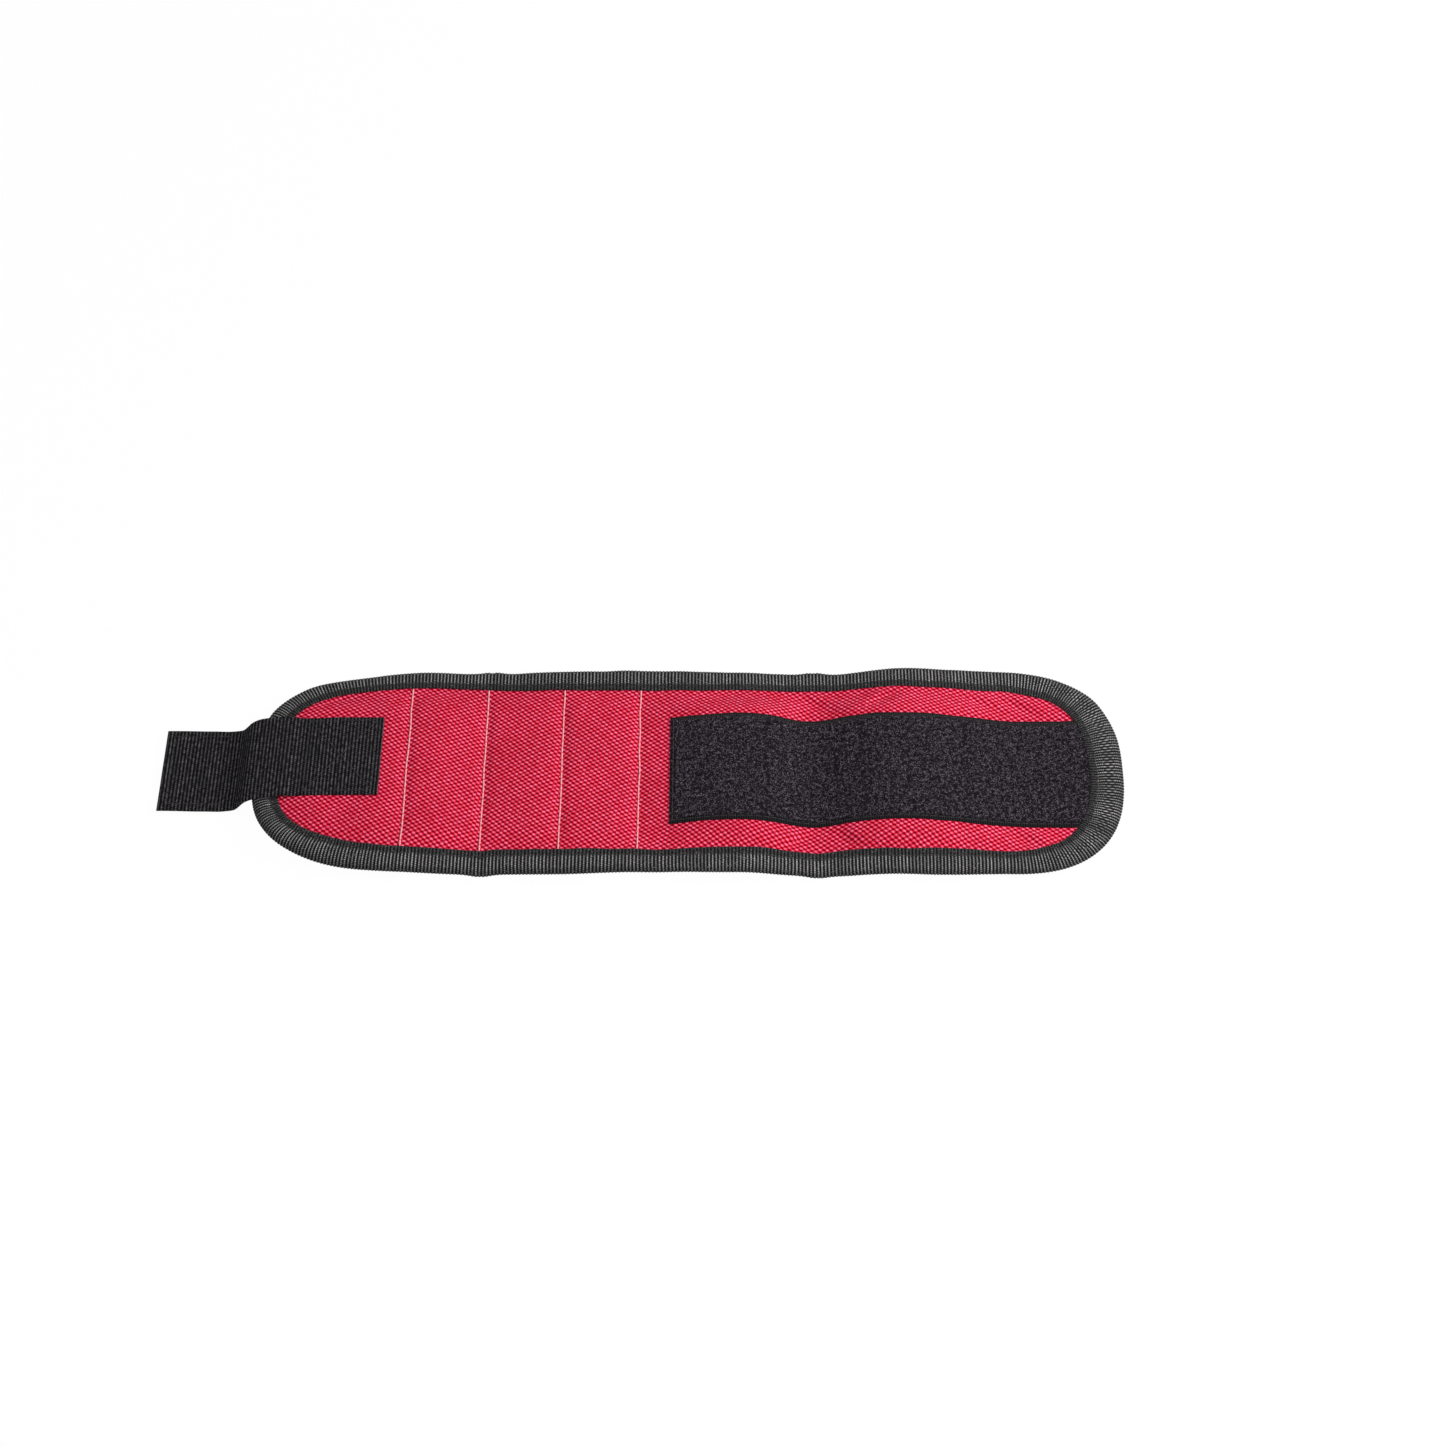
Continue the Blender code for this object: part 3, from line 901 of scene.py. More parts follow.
class EffectGroups:
    """Node groups of the effects that several materials share, each built once."""

    def __init__(self) -> None:
        """Builds the groups."""
        self.weave = self._weave()
        self.ribs = self._ribs()
        self.grain = self._grain()
        self.wear = self._wear()

    @staticmethod
    def _start(
        name: str, inputs: dict[str, float | None], outputs: Sequence[str]
    ) -> tuple[NodeTree, NodePen, Node, Node]:
        """Makes an empty group with its sockets.

        Args:
            name: Name of the group.
            inputs: Default of each input that is a number, and None for a vector.
            outputs: Its outputs, which are all numbers.

        Returns:
            The group's tree, a pen for it, and its input and output nodes.
        """
        tree = bpy.data.node_groups.new(name, "ShaderNodeTree")
        for title, default in inputs.items():
            kind = "NodeSocketVector" if default is None else "NodeSocketFloat"
            made = tree.interface.new_socket(title, in_out="INPUT", socket_type=kind)
            if default is not None:
                made.default_value = default
        for title in outputs:
            tree.interface.new_socket(title, in_out="OUTPUT", socket_type="NodeSocketFloat")
        start, end = tree.nodes.new("NodeGroupInput"), tree.nodes.new("NodeGroupOutput")
        return tree, NodePen(tree), start, end

    def _weave(self) -> NodeTree:
        """Crossed yarns: raised floats where the crests of two slanted waves meet.

        Returns:
            The group.
        """
        tree, pen, start, end = self._start(
            "crossed_weave",
            {"Coordinates": None, "First Wave": None, "Second Wave": None},
            ("Height", "Yarn"),
        )
        cloth = start.outputs["Coordinates"]
        wobble = pen.times(pen.noise(cloth, 320.0, 1.0), 0.25)
        phases = []
        for name in ("First Wave", "Second Wave"):
            inputs = {0: cloth, 1: start.outputs[name]}
            dot = pen.add("VectorMath", inputs, operation="DOT_PRODUCT")
            phases.append(pen.plus(dot.outputs["Value"], wobble))
        height: Socket | float = 0.5
        for phase, share in zip(phases, (0.28, 0.22)):
            wave = pen.math("COSINE", pen.times(phase, 2.0 * math.pi))
            height = pen.plus(pen.times(wave, share), height)
        cells = pen.join(*(pen.math("ROUND", phase) for phase in phases))
        yarn = pen.add("TexWhiteNoise", {"Vector": cells}, noise_dimensions="2D")
        pen.feed(end.inputs["Height"], height)
        pen.feed(end.inputs["Yarn"], yarn.outputs["Value"])
        return tree

    def _ribs(self) -> NodeTree:
        """Round ribs along one coordinate, each a little different in brightness.

        Returns:
            The group.
        """
        tree, pen, start, end = self._start(
            "woven_ribs",
            {"Coordinates": None, "Pitch": 0.0012, "Bite": 0.0007},
            ("Height", "Rib"),
        )
        along, across = pen.split(start.outputs["Coordinates"])
        along = pen.math("DIVIDE", along, start.outputs["Pitch"])
        rib = pen.math("COSINE", pen.times(along, 2.0 * math.pi))
        rib = pen.scaled(rib, 0.5, 0.5)
        across = pen.math("DIVIDE", across, start.outputs["Bite"])
        stagger = pen.times(pen.math("FLOOR", pen.plus(along, 0.5)), 0.5)
        bites = pen.math("SINE", pen.times(pen.plus(across, stagger), 2.0 * math.pi))
        bites = pen.scaled(bites, 0.18, 0.82)
        number = pen.math("FLOOR", pen.plus(along, 0.5))
        shade = pen.add("TexWhiteNoise", {"W": number}, noise_dimensions="1D")
        pen.feed(end.inputs["Height"], pen.times(rib, bites))
        pen.feed(end.inputs["Rib"], shade.outputs["Value"])
        return tree

    def _grain(self) -> NodeTree:
        """Fine fibre grain, drawn out along one coordinate.

        Returns:
            The group.
        """
        tree, pen, start, end = self._start(
            "fibre_grain",
            {"Coordinates": None, "Scale": 2500.0, "Stretch": 3.0},
            ("Value",),
        )
        along, across = pen.split(start.outputs["Coordinates"])
        vector = pen.join(pen.math("DIVIDE", along, start.outputs["Stretch"]), across)
        node = pen.add("TexNoise", {"Vector": vector, "Detail": 3.0, "Roughness": 0.7})
        pen.feed(node.inputs["Scale"], start.outputs["Scale"])
        pen.feed(end.inputs["Value"], node.outputs["Fac"])
        return tree

    def _wear(self) -> NodeTree:
        """Slow, blotchy change over the cloth, with specks of lint.

        Returns:
            The group.
        """
        tree, pen, start, end = self._start(
            "wear_and_lint",
            {"Coordinates": None, "Scale": 60.0, "Lint": 0.5},
            ("Blotch", "Specks"),
        )
        blotch = pen.add("TexNoise", {"Vector": start.outputs["Coordinates"], "Detail": 3.0})
        pen.feed(blotch.inputs["Scale"], start.outputs["Scale"])
        fine = pen.add(
            "TexNoise",
            {"Vector": start.outputs["Coordinates"], "Scale": 1450.0, "Detail": 1.0},
        )
        specks = pen.span(fine.outputs["Fac"], 0.62, 0.72)
        pen.feed(end.inputs["Blotch"], pen.span(blotch.outputs["Fac"], 0.3, 0.7))
        pen.feed(end.inputs["Specks"], pen.times(specks, start.outputs["Lint"]))
        return tree


@dataclass(frozen=True)
class Finish:
    """Plain values that every finish sets on its shader.

    Attributes:
        name: Name of the material.
        roughness: Middle roughness.
        sheen: Weight of the cloth sheen.
        specular: Specular level.
        relief: Depth of the bump, in metres.
    """

    name: str
    roughness: float
    sheen: float = 0.0
    specular: float = 0.35
    relief: float = 0.0002
    metallic: float = 0.0
    sheen_tint: tuple[float, float, float, float] = (1.0, 1.0, 1.0, 1.0)

    def start(self) -> tuple[Material, NodePen, Node, Socket]:
        """Makes the material.

        Returns:
            The material, a pen for its nodes, its shader, and the cloth coordinates.
        """
        material = bpy.data.materials.new(self.name)
        material.use_nodes = True
        pen = NodePen(material.node_tree)
        shader = material.node_tree.nodes["Principled BSDF"]
        shader.inputs["Roughness"].default_value = self.roughness
        shader.inputs["Metallic"].default_value = self.metallic
        shader.inputs["Specular IOR Level"].default_value = self.specular
        shader.inputs["Sheen Weight"].default_value = self.sheen
        shader.inputs["Sheen Roughness"].default_value = 0.45
        shader.inputs["Sheen Tint"].default_value = self.sheen_tint
        coordinates = pen.add("UVMap", uv_map=CLOTH_UV).outputs["UV"]
        return material, pen, shader, coordinates

    def finish(
        self, pen: NodePen, shader: Node, colour: Socket, height: Socket,
        roughness: Socket | None = None,
    ) -> None:
        """Links colour, bump and roughness to the shader.

        Args:
            pen: Pen for the material.
            shader: The shader.
            colour: Base colour.
            height: Height of the bump.
            roughness: Roughness, if it changes.
        """
        pen.feed(shader.inputs["Base Color"], colour)
        bump = pen.add("Bump", {"Height": height, "Distance": self.relief, "Strength": 1.0})
        pen.feed(shader.inputs["Normal"], bump.outputs["Normal"])
        if roughness is not None:
            pen.feed(shader.inputs["Roughness"], roughness)


def rgb(red: float, green: float, blue: float) -> tuple[float, float, float, float]:
    """Opaque linear colour from display values of 0 to 255."""
    linear = [
        value / 255 / 12.92 if value <= 10.3 else ((value / 255 + 0.055) / 1.055) ** 2.4
        for value in (red, green, blue)
    ]
    return (*linear, 1.0)


@dataclass(frozen=True)
class WovenFabric(Finish):
    """Coarse crimson oxford weave, with painted shade in the pits between the yarns and a painted
    highlight on the yarn crowns.
    """

    # pit is painted shade between the yarns, and also the darker tone of the random blotches; crown
    # is a painted highlight on the yarns, and also the colour of the lint specks.
    pit: tuple = rgb(104, 0, 8)
    body: tuple = rgb(206, 0, 38)
    crown: tuple = rgb(255, 126, 166)
    first_wave: tuple[float, float, float] = (440.0, 440.0, 0.0)
    second_wave: tuple[float, float, float] = (272.0, -561.0, 0.0)

    def make(self, groups: EffectGroups) -> Material:
        """Builds the material.

        Args:
            groups: The shared effects.

        Returns:
            The material.
        """
        material, pen, shader, cloth = self.start()
        weave = pen.group(
            groups.weave,
            {
                "Coordinates": cloth,
                "First Wave": self.first_wave,
                "Second Wave": self.second_wave,
            },
        )
        grain = pen.group(groups.grain, {"Coordinates": cloth, "Scale": 3200.0, "Stretch": 2.5})
        wear = pen.group(groups.wear, {"Coordinates": cloth, "Scale": 45.0, "Lint": 0.25})
        height = weave.outputs["Height"]
        lit = pen.plus(height, pen.times(grain.outputs["Value"], 0.22))
        # Painted shade in the low pits of the weave, then a painted highlight on the high yarn
        # crowns.
        colour = pen.mix(pen.span(lit, 0.22, 0.60), self.pit, self.body)
        painted_highlight = pen.times(pen.span(lit, 0.60, 1.02), pen.scaled(weave.outputs["Yarn"], 0.5, 0.5))
        colour = pen.mix(painted_highlight, colour, self.crown)
        blotch = pen.times(wear.outputs["Blotch"], 0.22)
        colour = pen.mix(blotch, colour, pen.mix(0.55, colour, self.pit))
        colour = pen.mix(wear.outputs["Specks"], colour, self.crown)
        relief = pen.plus(height, pen.times(grain.outputs["Value"], 0.35))
        rough = pen.span(height, 0.0, 1.0, (0.86, 0.58))
        self.finish(pen, shader, colour, relief, rough)
        return material


@dataclass(frozen=True)
class RibbedTape(Finish):
    """Black tape or webbing with crosswise ribs, with painted shade in the rib valleys and a
    painted highlight on the rib crowns.
    """

    # valley is painted shade between the ribs; crown is a painted highlight on them, and also the
    # colour of the lint specks.
    valley: tuple = rgb(8, 8, 9)
    body: tuple = rgb(44, 43, 44)
    crown: tuple = rgb(196, 193, 194)
    pitch: float = 1.33 * MM
    bite: float = 0.75 * MM
    # Strength of the painted highlight on the rib crowns.
    painted_highlight_share: float = 1.0
    mottle: float = 0.35
    # Stretch round the tape's section on which the painted highlight shows: the upward face. The
    # inner lip, up to the seam, is left in painted shade, and the rim that turns down gets less of
    # the highlight.
    painted_highlight_band: tuple[float, float] = (2.6 * MM, 10.4 * MM)

    def make(self, groups: EffectGroups) -> Material:
        """Builds the material.

        Args:
            groups: The shared effects.

        Returns:
            The material.
        """
        material, pen, shader, cloth = self.start()
        ribs = pen.group(
            groups.ribs, {"Coordinates": cloth, "Pitch": self.pitch, "Bite": self.bite}
        )
        grain = pen.group(groups.grain, {"Coordinates": cloth, "Scale": 2600.0, "Stretch": 0.45})
        wear = pen.group(groups.wear, {"Coordinates": cloth, "Scale": 110.0, "Lint": 0.35})
        height = ribs.outputs["Height"]
        lit = pen.plus(height, pen.scaled(grain.outputs["Value"], 0.6, -0.3))
        patches = pen.scaled(pen.noise(cloth, 640.0, 3.0), self.mottle, -0.5 * self.mottle)
        lit = pen.plus(lit, patches)
        # Painted shade in the rib valleys, then a painted highlight on the rib crowns, which the
        # wear blotches make patchy.
        colour = pen.mix(pen.span(lit, 0.05, 0.6), self.valley, self.body)
        painted_highlight = pen.times(pen.span(lit, 0.5, 1.05), self.painted_highlight_share)
        painted_highlight = pen.times(painted_highlight, pen.scaled(ribs.outputs["Rib"], 0.5, 0.5))
        painted_highlight = pen.times(painted_highlight, pen.scaled(wear.outputs["Blotch"], 0.35, 0.65))
        # The painted highlight is kept to the upward face of the tape: painted shade on the inner
        # lip and a weaker highlight over the turned-down rim.
        low, high = self.painted_highlight_band
        _, across = pen.split(cloth)
        band = pen.times(
            pen.span(across, low, low + 1.0 * MM, (0.08, 1.0)),
            pen.span(across, high - 2.4 * MM, high, (1.0, 0.4)),
        )
        colour = pen.mix(pen.times(painted_highlight, band), colour, self.crown)
        specks = pen.times(wear.outputs["Specks"], 0.6)
        colour = pen.mix(specks, colour, self.crown)
        relief = pen.plus(height, pen.times(grain.outputs["Value"], 0.5))
        rough = pen.span(height, 0.0, 1.0, (0.9, 0.6))
        self.finish(pen, shader, colour, relief, rough)
        return material


@dataclass(frozen=True)
class BrushedPile(Finish):
    """Loop side of a hook and loop tape: matted pile with a smooth border, with painted shade in
    the low pile and a painted highlight on the high tips.
    """

    shade: tuple = rgb(6, 4, 7)
    body: tuple = rgb(24, 19, 25)
    # tip is a painted highlight on the highest pile, and also the colour of the lint specks.
    tip: tuple = rgb(98, 88, 101)
    border: tuple = rgb(40, 38, 40)
    border_from: float = 22.9 * MM

    def make(self, groups: EffectGroups) -> Material:
        """Builds the material.

        Args:
            groups: The shared effects.

        Returns:
            The material.
        """
        material, pen, shader, cloth = self.start()
        mat = pen.noise(cloth, 620.0, 4.0)
        tufts = pen.noise(cloth, 1700.0, 3.0)
        wear = pen.group(groups.wear, {"Coordinates": cloth, "Scale": 70.0, "Lint": 0.8})
        pile = pen.plus(pen.times(mat, 0.5), pen.times(tufts, 0.5))
        # Painted shade in the low pile, then a painted highlight on the high tips.
        colour = pen.mix(pen.span(pile, 0.40, 0.55), self.shade, self.body)
        tips = pen.times(pen.span(pile, 0.52, 0.66), 0.85)
        colour = pen.mix(tips, colour, self.tip)
        colour = pen.mix(wear.outputs["Specks"], colour, self.tip)
        _, across = pen.split(cloth)
        edge = pen.span(pen.math("ABSOLUTE", across), self.border_from, self.border_from + 0.5 * MM)
        ribs = pen.group(groups.ribs, {"Coordinates": cloth, "Pitch": 0.9 * MM, "Bite": 0.6 * MM})
        # Painted shade in the valleys of the border's ribs.
        selvedge = pen.mix(ribs.outputs["Height"], self.shade, self.border)
        colour = pen.mix(edge, colour, selvedge)
        smooth = pen.times(ribs.outputs["Height"], 0.5)
        height = pen.add("Mix", {"Factor": edge, "A": pile, "B": smooth}).outputs[0]
        self.finish(pen, shader, colour, height)
        return material


@dataclass(frozen=True)
class SpacerMesh(Finish):
    """Black knitted spacer mesh with round holes, the holes in painted shade."""

    # hole is painted shade in the mesh's openings.
    hole: tuple = rgb(10, 10, 11)
    body: tuple = rgb(46, 46, 49)
    crown: tuple = rgb(86, 86, 90)
    cell: float = 2.3 * MM

    def make(self, groups: EffectGroups) -> Material:
        """Builds the material.

        Args:
            groups: The shared effects.

        Returns:
            The material.
        """
        material, pen, shader, cloth = self.start()
        along, across = pen.split(cloth)
        rows = pen.math("DIVIDE", across, self.cell * 0.8)
        columns = pen.math("DIVIDE", along, self.cell)
        stagger = pen.times(pen.math("MODULO", pen.math("FLOOR", rows), 2.0), 0.5)
        x = pen.math("SUBTRACT", pen.math("FRACT", pen.plus(columns, stagger)), 0.5)
        y = pen.math("SUBTRACT", pen.math("FRACT", rows), 0.5)
        reach = pen.math("SQRT", pen.plus(pen.times(x, x), pen.times(y, y)))
        grain = pen.group(groups.grain, {"Coordinates": cloth, "Scale": 3000.0, "Stretch": 1.6})
        wear = pen.group(groups.wear, {"Coordinates": cloth, "Scale": 50.0, "Lint": 0.5})
        knit = pen.span(reach, 0.20, 0.36)
        lit = pen.times(knit, grain.outputs["Value"])
        # Painted shade in the holes.
        colour = pen.mix(knit, self.hole, self.body)
        colour = pen.mix(pen.span(lit, 0.42, 0.75), colour, self.crown)
        colour = pen.mix(wear.outputs["Specks"], colour, self.crown)
        relief = pen.plus(knit, pen.times(grain.outputs["Value"], 0.3))
        self.finish(pen, shader, colour, relief)
        return material


@dataclass(frozen=True)
class TwistedThread(Finish):
    """Sewing thread with the turns of its twist, with painted shade along the grooves."""

    body: tuple = rgb(255, 190, 192)
    # groove is painted shade in the grooves of the twist, and also the tone of the darker flecks.
    groove: tuple = rgb(214, 120, 130)
    turns: float = 0.55 * MM

    def make(self, groups: EffectGroups) -> Material:
        """Builds the material.

        Args:
            groups: The shared effects.

        Returns:
            The material.
        """
        material, pen, shader, cloth = self.start()
        along, round_it = pen.split(cloth)
        twist = pen.plus(along, pen.times(round_it, 0.6))
        wave = pen.math("SINE", pen.times(twist, 2.0 * math.pi / self.turns))
        wave = pen.span(wave, -0.8, 0.6)
        grain = pen.group(groups.grain, {"Coordinates": cloth, "Scale": 4000.0, "Stretch": 2.0})
        # Painted shade in the grooves between the turns.
        colour = pen.mix(wave, self.groove, self.body)
        colour = pen.mix(pen.span(grain.outputs["Value"], 0.55, 0.9), colour, self.groove)
        self.finish(pen, shader, colour, wave)
        return material


@dataclass(frozen=True)
class MouldedPlastic(Finish):
    """Black nylon of the hooks and of the loose fibres."""

    low: tuple = rgb(26, 26, 28)
    high: tuple = rgb(58, 58, 62)
    scale: float = 900.0

    def make(self, groups: EffectGroups) -> Material:
        """Builds the material.

        Args:
            groups: The shared effects.

        Returns:
            The material.
        """
        material, pen, shader, cloth = self.start()
        grain = pen.group(
            groups.grain, {"Coordinates": cloth, "Scale": self.scale, "Stretch": 2.0}
        )
        value = grain.outputs["Value"]
        colour = pen.mix(pen.span(value, 0.3, 0.7), self.low, self.high)
        self.finish(pen, shader, colour, value, pen.span(value, 0.2, 0.8, (0.35, 0.6)))
        return material


@dataclass(frozen=True)
class NickelPlate(Finish):
    """Plated face of a magnet, with fine scuffs."""

    def make(self, groups: EffectGroups) -> Material:
        """Builds the material.

        Args:
            groups: The shared effects.

        Returns:
            The material.
        """
        material, pen, shader, _ = self.start()
        place = pen.add("TexCoord").outputs["Object"]
        grain = pen.group(groups.grain, {"Coordinates": place, "Scale": 1800.0, "Stretch": 6.0})
        wear = pen.group(groups.wear, {"Coordinates": place, "Scale": 130.0, "Lint": 0.4})
        value = grain.outputs["Value"]
        colour = pen.mix(value, rgb(176, 176, 180), rgb(214, 213, 210))
        rough = pen.span(wear.outputs["Blotch"], 0.0, 1.0, (0.22, 0.42))
        self.finish(pen, shader, colour, value, rough)
        return material


class Finishes:
    """Every material of the object, built once."""

    def __init__(self) -> None:
        """Builds the groups and the materials."""
        groups = EffectGroups()
        self.fabric = WovenFabric(
            "crimson_oxford", 0.75, sheen=0.0, specular=0.06, relief=0.00022,
            sheen_tint=rgb(255, 150, 170),
        ).make(groups)
        self.binding = RibbedTape(
            "binding_tape", 0.75, sheen=0.03, specular=0.15, relief=0.00012
        ).make(groups)
        self.webbing = RibbedTape(
            "strap_webbing", 0.8, sheen=0.0, specular=0.12, relief=0.00016,
            pitch=1.35 * MM, bite=0.9 * MM, valley=rgb(3, 3, 4), body=rgb(27, 25, 28),
            crown=rgb(110, 105, 112), painted_highlight_share=0.9, mottle=1.7, painted_highlight_band=(-1.0, 1.0),
        ).make(groups)
        self.pile = BrushedPile(
            "loop_pile", 0.95, sheen=0.06, specular=0.08, relief=0.00045
        ).make(groups)
        self.mesh = SpacerMesh("spacer_mesh", 0.85, sheen=0.15, relief=0.0004).make(groups)
        self.pale_thread = TwistedThread("pale_thread", 0.6, sheen=0.2, relief=0.00005).make(groups)
        self.dark_thread = TwistedThread(
            "dark_thread", 0.6, sheen=0.1, relief=0.00005,
            body=rgb(56, 55, 56), groove=rgb(20, 20, 21),
        ).make(groups)
        self.fibre = MouldedPlastic(
            "pile_fibre", 0.6, sheen=0.3, relief=0.00001,
            low=rgb(34, 29, 36), high=rgb(138, 128, 142),
        ).make(groups)
        self.hooks = MouldedPlastic(
            "hook_nylon", 0.45, specular=0.5, relief=0.00003
        ).make(groups)
        self.nickel = NickelPlate(
            "nickel_plate", 0.3, specular=0.5, relief=0.00001, metallic=1.0
        ).make(groups)


def dress(piece: Piece, material: Material, slot: Slot) -> None:
    """Gives a piece its material.

    Args:
        piece: The piece.
        material: Its material.
        slot: Not used.
    """
    piece.data.materials.clear()
    piece.data.materials.append(material)


# --- Sub-assemblies ---


@dataclass
class ClothGrid:
    """Grid of flat points over one cloth piece, its rows spread to the outline."""

    shape: BandShape
    spacing: float
    inset: float

    def points(self, start: float, end: float, rows: int) -> tuple[Array, Array]:
        """Stations and distances across of the grid's points.

        Args:
            start: First station.
            end: Last station.
            rows: Number of rows across.

        Returns:
            Two arrays of columns by rows.
        """
        low = max(start, LEFT_TIP + self.inset + 0.4 * MM)
        high = min(end, self.shape.right_tip - self.inset - 0.4 * MM)
        columns = max(3, round((high - low) / self.spacing) + 1)
        station = np.linspace(low, high, columns)[:, None]
        width = self.shape.half_width(station, self.inset)
        share = np.linspace(-1.0, 1.0, rows)[None, :]
        return np.broadcast_arrays(station, share * width)


@dataclass
class OuterFabric:
    """Crimson top sheet, which tucks under the binding."""

    shape: BandShape
    relief: ClothRelief
    finishes: Finishes
    thickness: float = 0.7 * MM
    spacing: float = 1.3 * MM
    rows: int = 73
    tuck: float = 4.0 * MM

    def build(self) -> None:
        """Makes a sheet for each fold line."""
        grid = ClothGrid(self.shape, self.spacing, self.tuck)
        for fold in range(1, len(FOLD_JOINTS) + 1):
            station, across = grid.points(*self.shape.piece_range(fold), self.rows)
            top = self.relief.outer(station, across)
            upper = self.shape.place(station, across, top)
            lower = self.shape.place(station, across, top - self.thickness)
            piece = shell_piece(
                f"fabric_fold_{fold:02d}", upper, lower, np.stack([station, across], axis=-1)
            )
            dress(piece, self.finishes.fabric, Slot.OUTER_FABRIC)
            self.shape.bend_over(piece, fold)
            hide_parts(*cad_nodes("outer_fabric", fold))


def cad_nodes(stem: str, fold: int) -> list[str]:
    """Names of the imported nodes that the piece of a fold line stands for."""
    numbers = (fold, fold + 1) if fold == len(FOLD_JOINTS) else (fold,)
    return [f"{stem}_{number:02d}" for number in numbers]


@dataclass
class MeshLining:
    """Padded mesh lining, hollowed over its magnets."""

    shape: BandShape
    relief: ClothRelief
    finishes: Finishes
    magnets: list[tuple[float, float]]
    spacing: float = 1.6 * MM
    rows: int = 61
    tuck: float = 4.0 * MM
    pocket_radius: float = 9.6 * MM
    pocket_floor: float = 1.1 * MM
    fill: float = 0.5

    def top(self, station: Array, across: Array) -> Array:
        """Height of the hidden top face, which drops into the pockets.

        Args:
            station: Stations on the flat band.
            across: Distances across it.

        Returns:
            The height at each point.
        """
        height = np.full(station.shape, LINING_TOP)
        x = np.interp(station, self.shape.line_s, self.shape.line_x)
        for magnet_x, magnet_y in self.magnets:
            reach = np.hypot(x - magnet_x, across - magnet_y)
            inside = 1.0 - smooth_step((reach - self.pocket_radius) / (1.5 * MM))
            height -= (LINING_TOP - self.pocket_floor) * inside
        return height

    def build(self) -> None:
        """Makes a pad for each fold line."""
        grid = ClothGrid(self.shape, self.spacing, self.tuck)
        for fold in range(1, len(FOLD_JOINTS) + 1):
            station, across = grid.points(*self.shape.piece_range(fold), self.rows)
            upper = self.shape.place(station, across, self.top(station, across))
            lower = self.shape.place(station, across, self.relief.inner(station, across))
            piece = shell_piece(
                f"lining_fold_{fold:02d}", upper, lower, np.stack([station, across], axis=-1)
            )
            dress(piece, self.finishes.mesh, Slot.MESH_LINING)
            self.shape.bend_over(piece, fold)
            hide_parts(*cad_nodes("mesh_lining", fold))


